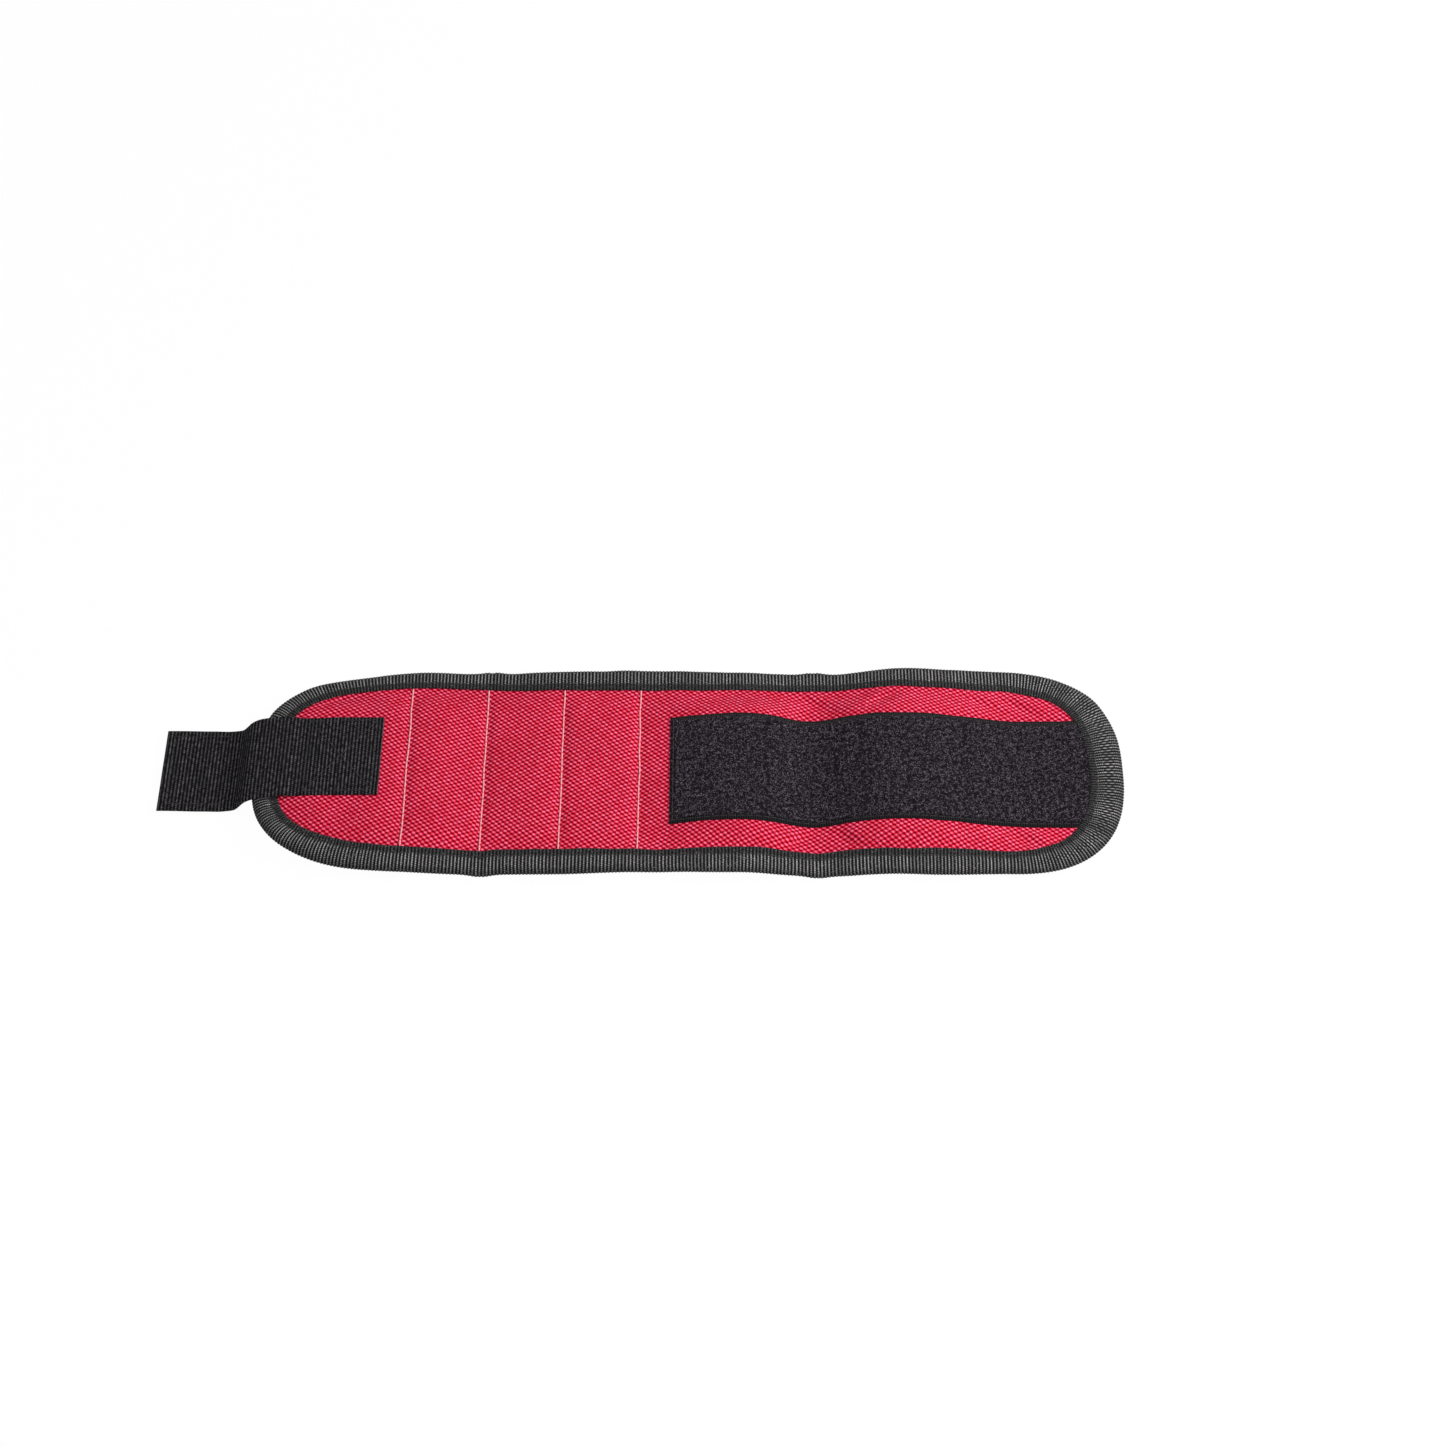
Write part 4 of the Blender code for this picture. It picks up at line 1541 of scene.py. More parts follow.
@dataclass
class Binding:
    """Ribbed tape folded over the edge, with its seam and the stitches in it."""

    shape: BandShape
    finishes: Finishes
    rib_pitch: float = 1.33 * MM
    rib_depth: float = 0.14 * MM
    samples_per_rib: int = 5
    pleat_depth: float = 0.28 * MM
    pleat_pitch: float = 5.2 * MM
    seam_inset: float = 2.9 * MM
    stitch: Stitch = Stitch(2.6 * MM, 0.5 * MM, 0.14 * MM)
    seam_faces: tuple[tuple[float, float], ...] = ((4.10 * MM, 1.0), (0.22 * MM, -1.0))
    thread_radius: float = 0.2 * MM
    crease_depth: float = 0.45 * MM
    width_noise: SoftNoise = SoftNoise(21, 11.0 * MM)
    dent_noise: SoftNoise = SoftNoise(22, 7.0 * MM)

    # Section of the tape: (distance in from the edge in mm, share of the leg's width, height).
    # A point lies at the first number plus the second times the width.
    section: tuple[tuple[float, float, float], ...] = (
        (0.0, 1.0, 3.82), (-0.12, 1.0, 4.15), (-0.6, 1.0, 4.35), (-1.5, 1.0, 4.42),
        (-2.3, 1.0, 4.32), (-2.9, 1.0, 3.98), (-3.5, 1.0, 4.36), (-4.4, 1.0, 4.60),
        (-5.6, 1.0, 4.70), (3.2, 0.0, 4.62), (2.0, 0.0, 4.38), (1.15, 0.0, 3.95),
        (0.5, 0.0, 3.32), (0.12, 0.0, 2.68), (0.0, 0.0, 2.05), (0.12, 0.0, 1.40),
        (0.5, 0.0, 0.80), (1.15, 0.0, 0.32), (2.0, 0.0, 0.08), (3.2, 0.0, 0.0),
        (-5.0, 1.0, 0.0), (-3.5, 1.0, 0.08), (-2.9, 1.0, 0.30), (-2.3, 1.0, 0.08),
        (-0.8, 1.0, 0.03), (-0.1, 1.0, 0.15), (0.0, 1.0, 0.45),
        (-0.4, 1.0, 0.55), (3.0, 0.0, 0.55), (1.3, 0.0, 0.85), (0.75, 0.0, 1.40),
        (0.6, 0.0, 2.05), (0.75, 0.0, 2.75), (1.3, 0.0, 3.40), (3.0, 0.0, 3.80),
        (-0.4, 1.0, 3.78),
    )
    outer_points: int = 27
    uv_width: float = 10.0

    def _runs(self, fold: int) -> list[tuple[float, float]]:
        """Stretches of the whole edge that belong to a fold line.

        The running length is counted along the back edge from the left tip to the right one, and
        goes on along the front edge; a stretch over the left tip starts below zero.

        Args:
            fold: Number of the fold line.

        Returns:
            Where each stretch starts and ends.
        """
        start, end = (self.shape.run_at(s) for s in self.shape.piece_range(fold))
        whole = float(self.shape.edge_run[-1])
        if fold == 1:
            return [(-end, end)]
        if fold == len(FOLD_JOINTS):
            return [(start, 2 * whole - start)]
        return [(start, end), (2 * whole - end, 2 * whole - start)]

    def _edge(self, runs: Array) -> tuple[Array, ...]:
        """Edge points at running lengths round the whole band, front edge included.

        Args:
            runs: Running lengths of the edge.

        Returns:
            Station, distance across, inward normal and tightness of bend.
        """
        whole = float(self.shape.edge_run[-1])
        front = (runs < 0.0) | (runs > whole)
        folded = np.where(runs < 0.0, -runs, np.where(runs > whole, 2 * whole - runs, runs))
        station, across, normal_s, normal_y, bend = self.shape.edge(folded)
        sign = np.where(front, -1.0, 1.0)
        return station, across * sign, normal_s, normal_y * sign, bend

    def _width(self, station: Array, runs: Array) -> Array:
        """Width of the tape's legs, a little uneven as sewn by hand."""
        return self.shape.binding_width(station) + 0.3 * MM * self.width_noise.at(runs, runs * 0.0)

    def _crease(self, station: Array) -> Array:
        """Dents across the tape where the band was folded for storage."""
        return sum(
            bell(station - self.shape.fold_station(fold) - CREASE_SHIFT, 1.3 * MM)
            for fold in CREASED_FOLDS
        )

    def _points(self, runs: Array, depth: Array, height: Array) -> Array:
        """Places points given by running length, distance in from the edge and height."""
        station, across, normal_s, normal_y, _ = self._edge(runs)
        return self.shape.place(station + normal_s * depth, across + normal_y * depth, height)

    def _tube(self, low: float, high: float) -> tuple[Array, Array]:
        """Rings of the tape's section along a stretch of the edge, and their coordinates.

        Args:
            low: Running length at its start.
            high: Running length at its end.

        Returns:
            The rings and the coordinates.
        """
        spacing = self.rib_pitch / self.samples_per_rib
        count = max(3, round((high - low) / spacing) + 1)
        runs = np.linspace(low, high, count)[:, None]
        station, _, _, _, bend = self._edge(runs)
        width = self._width(station, runs)
        section = np.array(self.section)
        depth = section[:, 0] * MM + section[:, 1] * width
        height = np.broadcast_to(section[:, 2] * MM, depth.shape).copy()
        centre = FOLD_HEIGHT * 0.65
        outward = np.sign(height - centre)
        outer = np.arange(len(section)) < self.outer_points
        legs = smooth_step((depth - 0.2 * MM) / (1.5 * MM))
        rib = self.rib_depth * np.cos(runs / self.rib_pitch * 2.0 * math.pi)
        tight = smooth_step(bend / 30.0)
        pleat = self.pleat_depth * tight * np.sin(
            runs / self.pleat_pitch * 2.0 * math.pi + 1.3 * self.dent_noise.at(runs, runs * 0.0)
        ) * smooth_step((depth - 2.0 * MM) / (7.0 * MM))
        soft = 0.12 * MM * self.dent_noise.at(runs, depth * 1.3)
        crease = -self.crease_depth * self._crease(station)
        above = np.where(height > centre, 1.0, 0.25)
        raised = (rib + (pleat + soft + crease) * above) * outer
        height = height + outward * raised * legs
        depth = depth - raised * (1.0 - legs)
        height = np.maximum(height, 0.0)
        rings = self._points(np.broadcast_to(runs, depth.shape), depth, height)
        flat_depth = section[:, 0] + section[:, 1] * self.uv_width
        steps = np.hypot(np.diff(flat_depth), np.diff(section[:, 2]))
        around = np.concatenate([[0.0], np.cumsum(steps)]) * MM
        uvs = np.stack(np.broadcast_arrays(runs, around[None, :]), axis=-1)
        return rings[:, ::-1], uvs[:, ::-1]

    def _seams(self, fold: int) -> Array:
        """Stitches in the seam, on the outer face and on the underside.

        Args:
            fold: Number of the fold line.

        Returns:
            Points of each stitch.
        """
        paths = []
        for low, high in self._runs(fold):
            for height, facing in self.seam_faces:

                def line(along: Array, low: float = low) -> tuple[Array, Array]:
                    """Running length and distance in from the edge along the seam.

                    Args:
                        along: Lengths along the seam.

                    Returns:
                        Running lengths and distances in from the edge.
                    """
                    runs = low + along
                    station = self._edge(runs)[0]
                    return runs, self._width(station, runs) - self.seam_inset

                paths.append(
                    stitch_paths(
                        line, high - low, self._points,
                        lambda runs, depth, height=height: np.full(runs.shape, height),
                        self.stitch, facing,
                    )
                )
        return np.concatenate(paths)

    def build(self) -> None:
        """Makes the tape and its stitches for each fold line."""
        for fold in range(1, len(FOLD_JOINTS) + 1):
            tubes = [self._tube(low, high) for low, high in self._runs(fold)]
            piece = tube_piece(f"binding_fold_{fold:02d}", tubes)
            dress(piece, self.finishes.binding, Slot.BINDING)
            self.shape.bend_over(piece, fold)
            nodes = [f"binding_{side.name.lower()}_{fold:02d}" for side in Side if fold > 1]
            if fold == 1:
                nodes = ["binding_left_end"]
            if fold == len(FOLD_JOINTS):
                nodes.append("binding_right_end")
            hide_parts(*nodes)
            seam = strand_piece(
                f"binding_seam_{fold:02d}", self._seams(fold), self.thread_radius, 6
            )
            dress(seam, self.finishes.dark_thread, Slot.BINDING)
            self.shape.bend_over(seam, fold)


@dataclass
class PocketStitching:
    """Pale rows of stitching that close the magnet pockets, seen on both faces."""

    shape: BandShape
    relief: ClothRelief
    finishes: Finishes
    stitch: Stitch = Stitch(2.7 * MM, 0.28 * MM, 0.16 * MM)
    under_stitch: Stitch = Stitch(2.7 * MM, 0.28 * MM, 0.10 * MM)
    clear: float = 0.16 * MM
    under_clear: float = -0.05 * MM
    radius: float = 0.3 * MM
    wander_depth: float = 0.22 * MM
    wander: SoftNoise = SoftNoise(31, 9.0 * MM)

    def build(self) -> None:
        """Makes each row on the outer face and on the underside."""
        for fold in STITCH_FOLDS:
            station = self.shape.fold_station(fold)
            reach = float(self.shape.half_width(np.array(station), BINDING_WIDTH)) - 0.1 * MM

            def line(
                along: Array, station: float = station, reach: float = reach
            ) -> tuple[Array, Array]:
                """Flat points along the row, which wanders a little."""
                across = along - reach
                return station + self.wander_depth * self.wander.at(across, station), across

            faces = (
                ("row", self.relief.outer, self.clear, self.stitch, 1.0),
                ("under_row", self.relief.inner, self.under_clear, self.under_stitch, -1.0),
            )
            for stem, height, clear, stitch, facing in faces:
                paths = stitch_paths(
                    line, 2 * reach, self.shape.place,
                    lambda s, y, height=height, clear=clear: height(s, y) + clear,
                    stitch, facing,
                )
                piece = strand_piece(f"stitch_{stem}_{fold - 1}", paths, self.radius, 8, 0.7)
                dress(piece, self.finishes.pale_thread, Slot.OUTER_FABRIC)
                self.shape.bend_over(piece, fold)


@dataclass
class LoopPanel:
    """Loop tape sewn on the outer face, with its smooth border and its raised fibres."""

    shape: BandShape
    relief: ClothRelief
    finishes: Finishes
    thickness: float = 1.4 * MM
    border: float = 2.2 * MM
    border_drop: float = 0.5 * MM
    spacing: float = 0.85 * MM
    rows: int = 63
    fuzz: float = 0.16 * MM
    loops_per_piece: int = 1500
    loop_radius: float = 0.34 * MM
    loop_height: float = 0.8
    loop_sink: float = 0.10 * MM
    fibre_radius: float = 0.055 * MM
    stitch_inset: float = 1.3 * MM
    stitch: Stitch = Stitch(2.6 * MM, 0.5 * MM, 0.10 * MM)
    mat_noise: SoftNoise = SoftNoise(41, 1.7 * MM)
    tuft_noise: SoftNoise = SoftNoise(42, 0.95 * MM)
    edge_noise: SoftNoise = SoftNoise(43, 6.0 * MM)

    def right_end(self, across: Array) -> Array:
        """Station at which the panel meets the binding's inner edge.

        Args:
            across: Distances across it.

        Returns:
            The station at each distance.
        """
        inset = self.shape.binding_width(self.shape.edge_s) - 0.25 * MM
        along = self.shape.edge_s + self.shape.normal_s * inset
        side = self.shape.edge_y + self.shape.normal_y * inset
        right = along > 0.13
        order = np.argsort(side[right])
        return np.interp(np.abs(across), side[right][order], along[right][order])

    def heights(self, station: Array, across: Array) -> Array:
        """Height of the pile, lower along the border.

        Args:
            station: Stations on the flat band.
            across: Distances across it.

        Returns:
            The height at each point.
        """
        inner = np.minimum(
            self.relief.loop_half_width - np.abs(across - self.relief.loop_middle),
            station - self.relief.loop_left,
        )
        pile = smooth_step((inner - self.border + 0.4 * MM) / (0.8 * MM))
        rim = smooth_step(inner / (0.5 * MM))
        fuzz = self.fuzz * (
            self.mat_noise.at(station, across) + 0.8 * self.tuft_noise.at(station, across)
        )
        body = self.thickness - self.border_drop * (1.0 - pile) - 0.35 * MM * (1.0 - rim)
        return self.relief.outer(station, across) + body + fuzz * (0.15 + 0.85 * pile)

    def _grid(self, start: float, end: float, last: bool) -> tuple[Array, Array]:
        """Flat points of one piece of the panel.

        Args:
            start: First station.
            end: Last station.
            last: Whether it is the last piece.

        Returns:
            Stations and distances across.
        """
        across = np.linspace(-1.0, 1.0, self.rows)[None, :] * self.relief.loop_half_width
        across = across + self.relief.loop_middle
        ends = self.right_end(across) if last else np.full(across.shape, end)
        columns = round((end - start) / self.spacing) + 1
        share = np.linspace(0.0, 1.0, columns)[:, None]
        station = start + (ends - start) * share
        station, across = np.broadcast_arrays(station, across)
        from_middle = across - self.relief.loop_middle
        wave = 0.010 * self.edge_noise.at(station, np.sign(from_middle) * 0.05)
        return station, across + wave * from_middle

    def _loops(self, fold: int, start: float, end: float) -> Array:
        """Small arcs of fibre that stand out of the pile.

        Args:
            fold: Number of the fold line.
            start: First station.
            end: Last station.

        Returns:
            Points of each arc.
        """
        rng = np.random.default_rng(400 + fold)
        count = round(self.loops_per_piece * (end - start) / (37.0 * MM))
        first = max(start, self.relief.loop_left + self.border)
        station = rng.uniform(first, end - 2.0 * MM, count)
        reach = self.relief.loop_half_width - self.border
        across = rng.uniform(-reach, reach, count) + self.relief.loop_middle
        heading = rng.uniform(0.0, 2.0 * math.pi, count)
        radius = self.loop_radius * rng.uniform(0.6, 1.5, count)
        lean = rng.uniform(-0.8, 0.8, count)
        turn = np.linspace(0.0, math.pi, 5)
        out = radius[:, None] * np.cos(turn)
        rise = radius[:, None] * np.sin(turn) * self.loop_height
        cosine, sine = np.cos(heading)[:, None], np.sin(heading)[:, None]
        tilt = lean[:, None]
        path_s = station[:, None] + cosine * out - sine * rise * tilt
        path_y = across[:, None] + sine * out + cosine * rise * tilt
        base = self.heights(station, across)[:, None] - self.loop_sink
        return self.shape.place(path_s, path_y, base + rise)

    def _stitching(self, fold: int, start: float, end: float, last: bool) -> Array:
        """Black stitches along the border.

        Args:
            fold: Number of the fold line.
            start: First station.
            end: Last station.
            last: Whether it is the last piece.

        Returns:
            Points of each stitch.
        """
        paths = []
        side = self.relief.loop_half_width - self.stitch_inset

        def height(station: Array, across: Array) -> Array:
            """Height at which the stitches lie on the border."""
            return self.heights(station, across) + 0.02 * MM

        for sign in (-1.0, 1.0):
            row = self.relief.loop_middle + sign * side
            stop = float(self.right_end(np.array(row))) - 0.8 * MM if last else end
            paths.append(
                stitch_paths(
                    lambda along, row=row: (start + along, np.full(along.shape, row)),
                    stop - start, self.shape.place, height, self.stitch,
                )
            )
        if fold == FIRST_LOOP_FOLD:
            column = self.relief.loop_left + self.stitch_inset
            paths.append(
                stitch_paths(
                    lambda along: (
                        np.full(along.shape, column), along - side + self.relief.loop_middle
                    ),
                    2 * side, self.shape.place, height, self.stitch,
                )
            )
        return np.concatenate(paths)

    def build(self) -> None:
        """Makes the panel, its fibres and its stitches for each fold line it crosses."""
        last_fold = len(FOLD_JOINTS)
        for fold in range(FIRST_LOOP_FOLD, last_fold + 1):
            start, end = self.shape.piece_range(fold)
            start = self.relief.loop_left if fold == FIRST_LOOP_FOLD else start
            last = fold == last_fold
            if last:
                end = float(self.right_end(np.array(0.0)))
            station, across = self._grid(start, end, last)
            upper = self.shape.place(station, across, self.heights(station, across))
            bottom = self.relief.outer(station, across) + 0.06 * MM
            lower = self.shape.place(station, across, bottom)
            from_middle = across - self.relief.loop_middle
            piece = shell_piece(
                f"loop_fold_{fold:02d}", upper, lower, np.stack([station, from_middle], axis=-1)
            )
            dress(piece, self.finishes.pile, Slot.LOOP_PANEL)
            self.shape.bend_over(piece, fold)
            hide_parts(*cad_nodes("loop_panel", fold))
            width = 2 * self.relief.loop_half_width
            min(flat_area_across(station, across), width * (end - start))
            fibres = strand_piece(
                f"loop_fibres_{fold:02d}", self._loops(fold, start, end), self.fibre_radius, 3
            )
            dress(fibres, self.finishes.fibre, Slot.LOOP_PANEL)
            self.shape.bend_over(fibres, fold)
            seam = strand_piece(
                f"loop_seam_{fold:02d}", self._stitching(fold, start, end, last), BORDER_THREAD, 6
            )
            dress(seam, self.finishes.dark_thread, Slot.LOOP_PANEL)
            self.shape.bend_over(seam, fold)


def flat_area_across(station: Array, across: Array) -> float:
    """Area of a grid of flat points whose rows end at different stations."""
    lengths = station[-1] - station[0]
    return float(np.sum((lengths[1:] + lengths[:-1]) / 2 * np.diff(across[0])))


@dataclass
class HookStrap:
    """Webbing strap sewn on the left end, with hook tape under its free tab."""

    shape: BandShape
    relief: ClothRelief
    finishes: Finishes
    root: Vector
    tab: Vector
    tip_x: float
    half_width: float = 19.0 * MM
    sewn_narrowing: float = 0.7 * MM
    edge_wander: float = 0.38 * MM
    thickness: float = 1.2 * MM
    sewn_end: float = -99.0 * MM
    sewn_middle: float = 3.0 * MM
    tip_middle: float = 0.6 * MM
    rib_pitch: float = 1.35 * MM
    rib_depth: float = 0.06 * MM
    samples_per_rib: int = 4
    rows: int = 29
    curl: float = 0.22 * MM
    hook_base: float = 0.30 * MM
    tab_underside: float = 1.0 * MM
    hooks_across: int = 19
    hooks_along: int = 15
    box_inset: float = 2.4 * MM
    box_end_x: float = -127.0 * MM
    box_stitch: Stitch = Stitch(2.4 * MM, 0.5 * MM, 0.10 * MM)
    tab_stitch: Stitch = Stitch(2.4 * MM, 0.5 * MM, 0.09 * MM)
    slack_noise: SoftNoise = SoftNoise(51, 14.0 * MM)

    def __post_init__(self) -> None:
        """Lays out the middle line of the strap from its sewn end to its tip."""
        stations = np.arange(self.sewn_end, LEFT_TIP + 2.0 * MM, -1.0 * MM)
        over = smooth_step((-128.0 * MM - stations) / (9.0 * MM))
        under = FABRIC_TOP + 0.18 * MM + (BINDING_TOP + 0.55 * MM - FABRIC_TOP) * over
        sewn = self.shape.place(stations, stations * 0.0, under + self.thickness / 2)[:, [0, 2]]
        rest = self.tab_underside + self.thickness / 2
        root_x, root_z = self.root.x, self.root.z + self.thickness / 2
        tab_x = self.tab.x
        free = np.array([
            (root_x + 0.2 * MM, root_z - 0.02 * MM),
            (root_x - 1.9 * MM, root_z - 1.25 * MM),
            (root_x - 3.6 * MM, root_z * 0.45 + rest * 0.55),
            (root_x - 5.4 * MM, rest + 0.75 * MM),
            (tab_x - 1.6 * MM, rest + 0.05 * MM),
            (tab_x - 9.0 * MM, rest),
            (self.tip_x * 0.5 + tab_x * 0.5 - 4.0 * MM, rest + 0.06 * MM),
            (self.tip_x, rest),
        ])
        line = np.concatenate([sewn, free])
        run = np.concatenate([[0.0], np.cumsum(np.hypot(*np.diff(line, axis=0).T))])
        fine = np.linspace(0.0, run[-1], 700)
        self.line = np.stack([smooth_line(run, line[:, k], fine) for k in (0, 1)], axis=-1)
        self.run = np.concatenate([[0.0], np.cumsum(np.hypot(*np.diff(self.line, axis=0).T))])
        self.length = float(self.run[-1])

    def run_at_x(self, x: float) -> float:
        """Running length of the middle line where it passes an X."""
        return float(np.interp(-x, -self.line[:, 0], self.run))

    def place(self, along: Array, across: Array, height: Array) -> Array:
        """Points over the middle line: along it, across the strap and out of its upper face.

        Args:
            along: Running lengths of the strap.
            across: Distances across it.
            height: Distances out of its upper face.

        Returns:
            The points.
        """
        along, across, height = np.broadcast_arrays(along, across, height)
        turned = smooth_step((along / self.length - 0.35) / 0.4)
        across = across + self.sewn_middle + (self.tip_middle - self.sewn_middle) * turned
        x = np.interp(along, self.run, self.line[:, 0])
        z = np.interp(along, self.run, self.line[:, 1])
        heading = np.gradient(self.line, self.run, axis=0)
        heading_x = np.interp(along, self.run, heading[:, 0])
        heading_z = np.interp(along, self.run, heading[:, 1])
        size = np.hypot(heading_x, heading_z)
        station = np.interp(x, self.shape.line_x, self.shape.line_s)
        sewn = smooth_step((x - self.root.x) / (14.0 * MM))
        follow = sewn * (
            self.relief.outer(station, across) - self.relief.outer(station, across * 0.0)
        )
        return np.stack(
            [x + height * heading_z / size, across, z - height * heading_x / size + follow], axis=-1
        )

    def _section(self, along: Array, share: Array, facing: float) -> Array:
        """Height of a face of the webbing over its middle line.

        Args:
            along: Running lengths of the strap.
            share: Share of its half width.
            facing: 1 for the upper face and -1 for the lower.

        Returns:
            The height at each point.
        """
        edge = np.abs(share)
        selvedge = smooth_step((edge - 0.93) / 0.05)
        rounding = np.sqrt(np.clip(1.0 - np.clip((edge - 0.97) / 0.03, 0.0, 1.0) ** 2, 0.0, 1.0))
        ribs = self.rib_depth * np.cos(along / self.rib_pitch * 2.0 * math.pi) * (1.0 - selvedge)
        half = self.thickness / 2 * (1.0 - 0.22 * selvedge) * (0.25 + 0.75 * rounding)
        end = np.minimum(along, self.length - along)
        half = half * (0.45 + 0.55 * np.sqrt(np.clip(end / (0.7 * MM), 0.0, 1.0)))
        turned = smooth_step((9.0 * MM - along) / (1.5 * MM))
        half = half * (1.0 + 0.3 * turned * (facing > 0.0))
        bow = self.curl * (self.slack_noise.at(along, share * 0.03))
        loose = smooth_step((along - self.run_at_x(self.root.x + 4.0 * MM)) / (6.0 * MM))
        return facing * (half + ribs) + bow * loose * (facing > 0.0) * 0.4

    def _webbing(self, name: str, low: float, high: float) -> Piece:
        """Webbing between two running lengths.

        Args:
            name: Name of the piece.
            low: Running length at its start.
            high: Running length at its end.

        Returns:
            The piece.
        """
        columns = max(5, round((high - low) / (self.rib_pitch / self.samples_per_rib)) + 1)
        along = np.linspace(high, low, columns)[:, None]
        share = np.sin(np.linspace(-1.0, 1.0, self.rows) * math.pi / 2 * 0.96)[None, :]
        share = share / np.abs(share).max()
        along, share = np.broadcast_arrays(along, share)
        drawn_in = self.sewn_narrowing * (1.0 - smooth_step((along - 24.0 * MM) / (24.0 * MM)))
        width = self.half_width - drawn_in
        width = width + self.edge_wander * self.slack_noise.at(along, np.sign(share))
        across = share * width
        upper = self.place(along, across, self._section(along, share, 1.0))
        lower = self.place(along, across, self._section(along, share, -1.0))
        piece = shell_piece(name, upper, lower, np.stack([along, across], axis=-1))
        dress(piece, self.finishes.webbing, Slot.STRAP_WEBBING)
        return piece

    def _stitch_lines(self, lines: Sequence, clear: float, stitch: Stitch) -> Array:
        """Stitches along straight lines on the upper face.

        Args:
            lines: Running length and distance across of both ends of each line.
            clear: How far the stitches lie over the webbing.
            stitch: Size of the stitches.

        Returns:
            Points of each stitch.
        """
        paths = []
        for start_a, start_y, end_a, end_y in lines:
            length = math.hypot(end_a - start_a, end_y - start_y)

            def line(
                along: Array, a: float = start_a, y: float = start_y,
                da: float = (end_a - start_a) / length, dy: float = (end_y - start_y) / length,
            ) -> tuple[Array, Array]:
                """Running length and distance across along the line."""
                return a + along * da, y + along * dy

            paths.append(
                stitch_paths(
                    line, length, self.place,
                    lambda a, y: self._section(a, y / self.half_width, 1.0) + clear, stitch,
                )
            )
        return np.concatenate(paths)

    def _sewing(self) -> Array:
        """Box of black stitches with a cross in it, on the sewn end.

        Returns:
            Points of each stitch.
        """
        low, high = self.box_inset, self.run_at_x(self.box_end_x)
        side = self.half_width - self.box_inset
        lines = (
            (low, -side, low, side), (high, -side, high, side),
            (low, -side, high, -side), (low, side, high, side),
            (low, -side, high, side), (low, side, high, -side),
        )
        return self._stitch_lines(lines, 0.03 * MM, self.box_stitch)

    def _tab_stitching(self, low: float, high: float) -> Array:
        """Rows of stitches that hold the hook tape, seen on the tab's upper face.

        Args:
            low: Running length at their start.
            high: Running length at their end.

        Returns:
            Points of each stitch.
        """
        side = self.half_width - 3.0 * MM
        lines = ((low, -side, high, -side), (low, side, high, side), (high, -side, high, side))
        return self._stitch_lines(lines, 0.02 * MM, self.tab_stitch)

    def _hook_tape(self, low: float, high: float) -> Piece:
        """Woven base of the hook tape, under the tab.

        Args:
            low: Running length at its start.
            high: Running length at its end.

        Returns:
            The piece.
        """
        columns, rows = 40, 33
        along = np.linspace(high, low, columns)[:, None]
        across = np.linspace(-1.0, 1.0, rows)[None, :] * (self.half_width - 1.5 * MM)
        along, across = np.broadcast_arrays(along, across)
        top = -self.thickness / 2 - self.rib_depth - 0.03 * MM
        upper = self.place(along, across, np.full(along.shape, top))
        lower = self.place(along, across, np.full(along.shape, top - self.hook_base))
        piece = shell_piece("hook_tape_base", upper, lower, np.stack([along, across], axis=-1))
        dress(piece, self.finishes.hooks, Slot.HOOK_TAPE)
        return piece

    def _hooks(self, low: float, high: float) -> Array:
        """Small hooks in rows under the tape.

        Args:
            low: Running length at its start.
            high: Running length at its end.

        Returns:
            Points of each hook.
        """
        bend = np.array([
            (0.0, 0.05), (0.0, -0.20), (0.03, -0.36), (0.15, -0.47), (0.29, -0.44), (0.34, -0.32),
        ]) * MM
        along, across = np.meshgrid(
            np.linspace(low + 1.2 * MM, high - 1.2 * MM, self.hooks_along),
            np.linspace(-1.0, 1.0, self.hooks_across) * (self.half_width - 3.0 * MM),
            indexing="ij",
        )
        along = along + np.where(np.arange(self.hooks_across) % 2, 0.5, 0.0) * 0.8 * MM
        heading = np.where(np.arange(self.hooks_across) % 2, 1.0, -1.0)
        heading = np.broadcast_to(heading, along.shape).reshape(-1, 1)
        along, across = along.reshape(-1, 1), across.reshape(-1, 1)
        base = -self.thickness / 2 - self.rib_depth - 0.03 * MM - self.hook_base
        return self.place(along + heading * bend[:, 0], across, base + bend[:, 1])

    def _bend(
        self, piece: Piece, start: float, end: float
    ) -> None:
        """Bakes a piece's placement into its mesh. It works out where the two ends lie along the
        strap, but does not blend the piece between bodies.
        """
        ends = self.place(np.array([start, end]), np.zeros(2), np.zeros(2))
        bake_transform(piece)

    def build(self) -> None:
        """Makes the sewn length, the length over the edge, the tab and the hook tape."""
        first_panel = self.shape.place(self.shape.middles[:1], np.zeros(1), np.full(1, FOLD_HEIGHT))
        over_band = self.run_at_x(float(first_panel[0, 0]))
        bridge = self.run_at_x((self.root.x + self.tab.x) / 2)
        sewn = self._webbing("strap_sewn_length", 0.0, over_band)
        self.shape.bend_over(sewn, 1)
        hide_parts("strap_sewn_02")
        stitches = strand_piece("strap_box_stitch", self._sewing(), BORDER_THREAD, 6)
        dress(stitches, self.finishes.dark_thread, Slot.STRAP_WEBBING)
        self.shape.bend_over(stitches, 1)

        root = self._webbing("strap_over_edge", over_band, bridge)
        start = self.run_at_x(self.root.x + 3.5 * MM)
        self._bend(root, start, bridge)
        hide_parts("strap_sewn_01", "strap_bridge")

        tab = self._webbing("strap_tab_length", bridge, self.length)
        flat = self.run_at_x(self.tab.x - 4.0 * MM)
        self._bend(tab, bridge, flat)
        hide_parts("strap_tab")

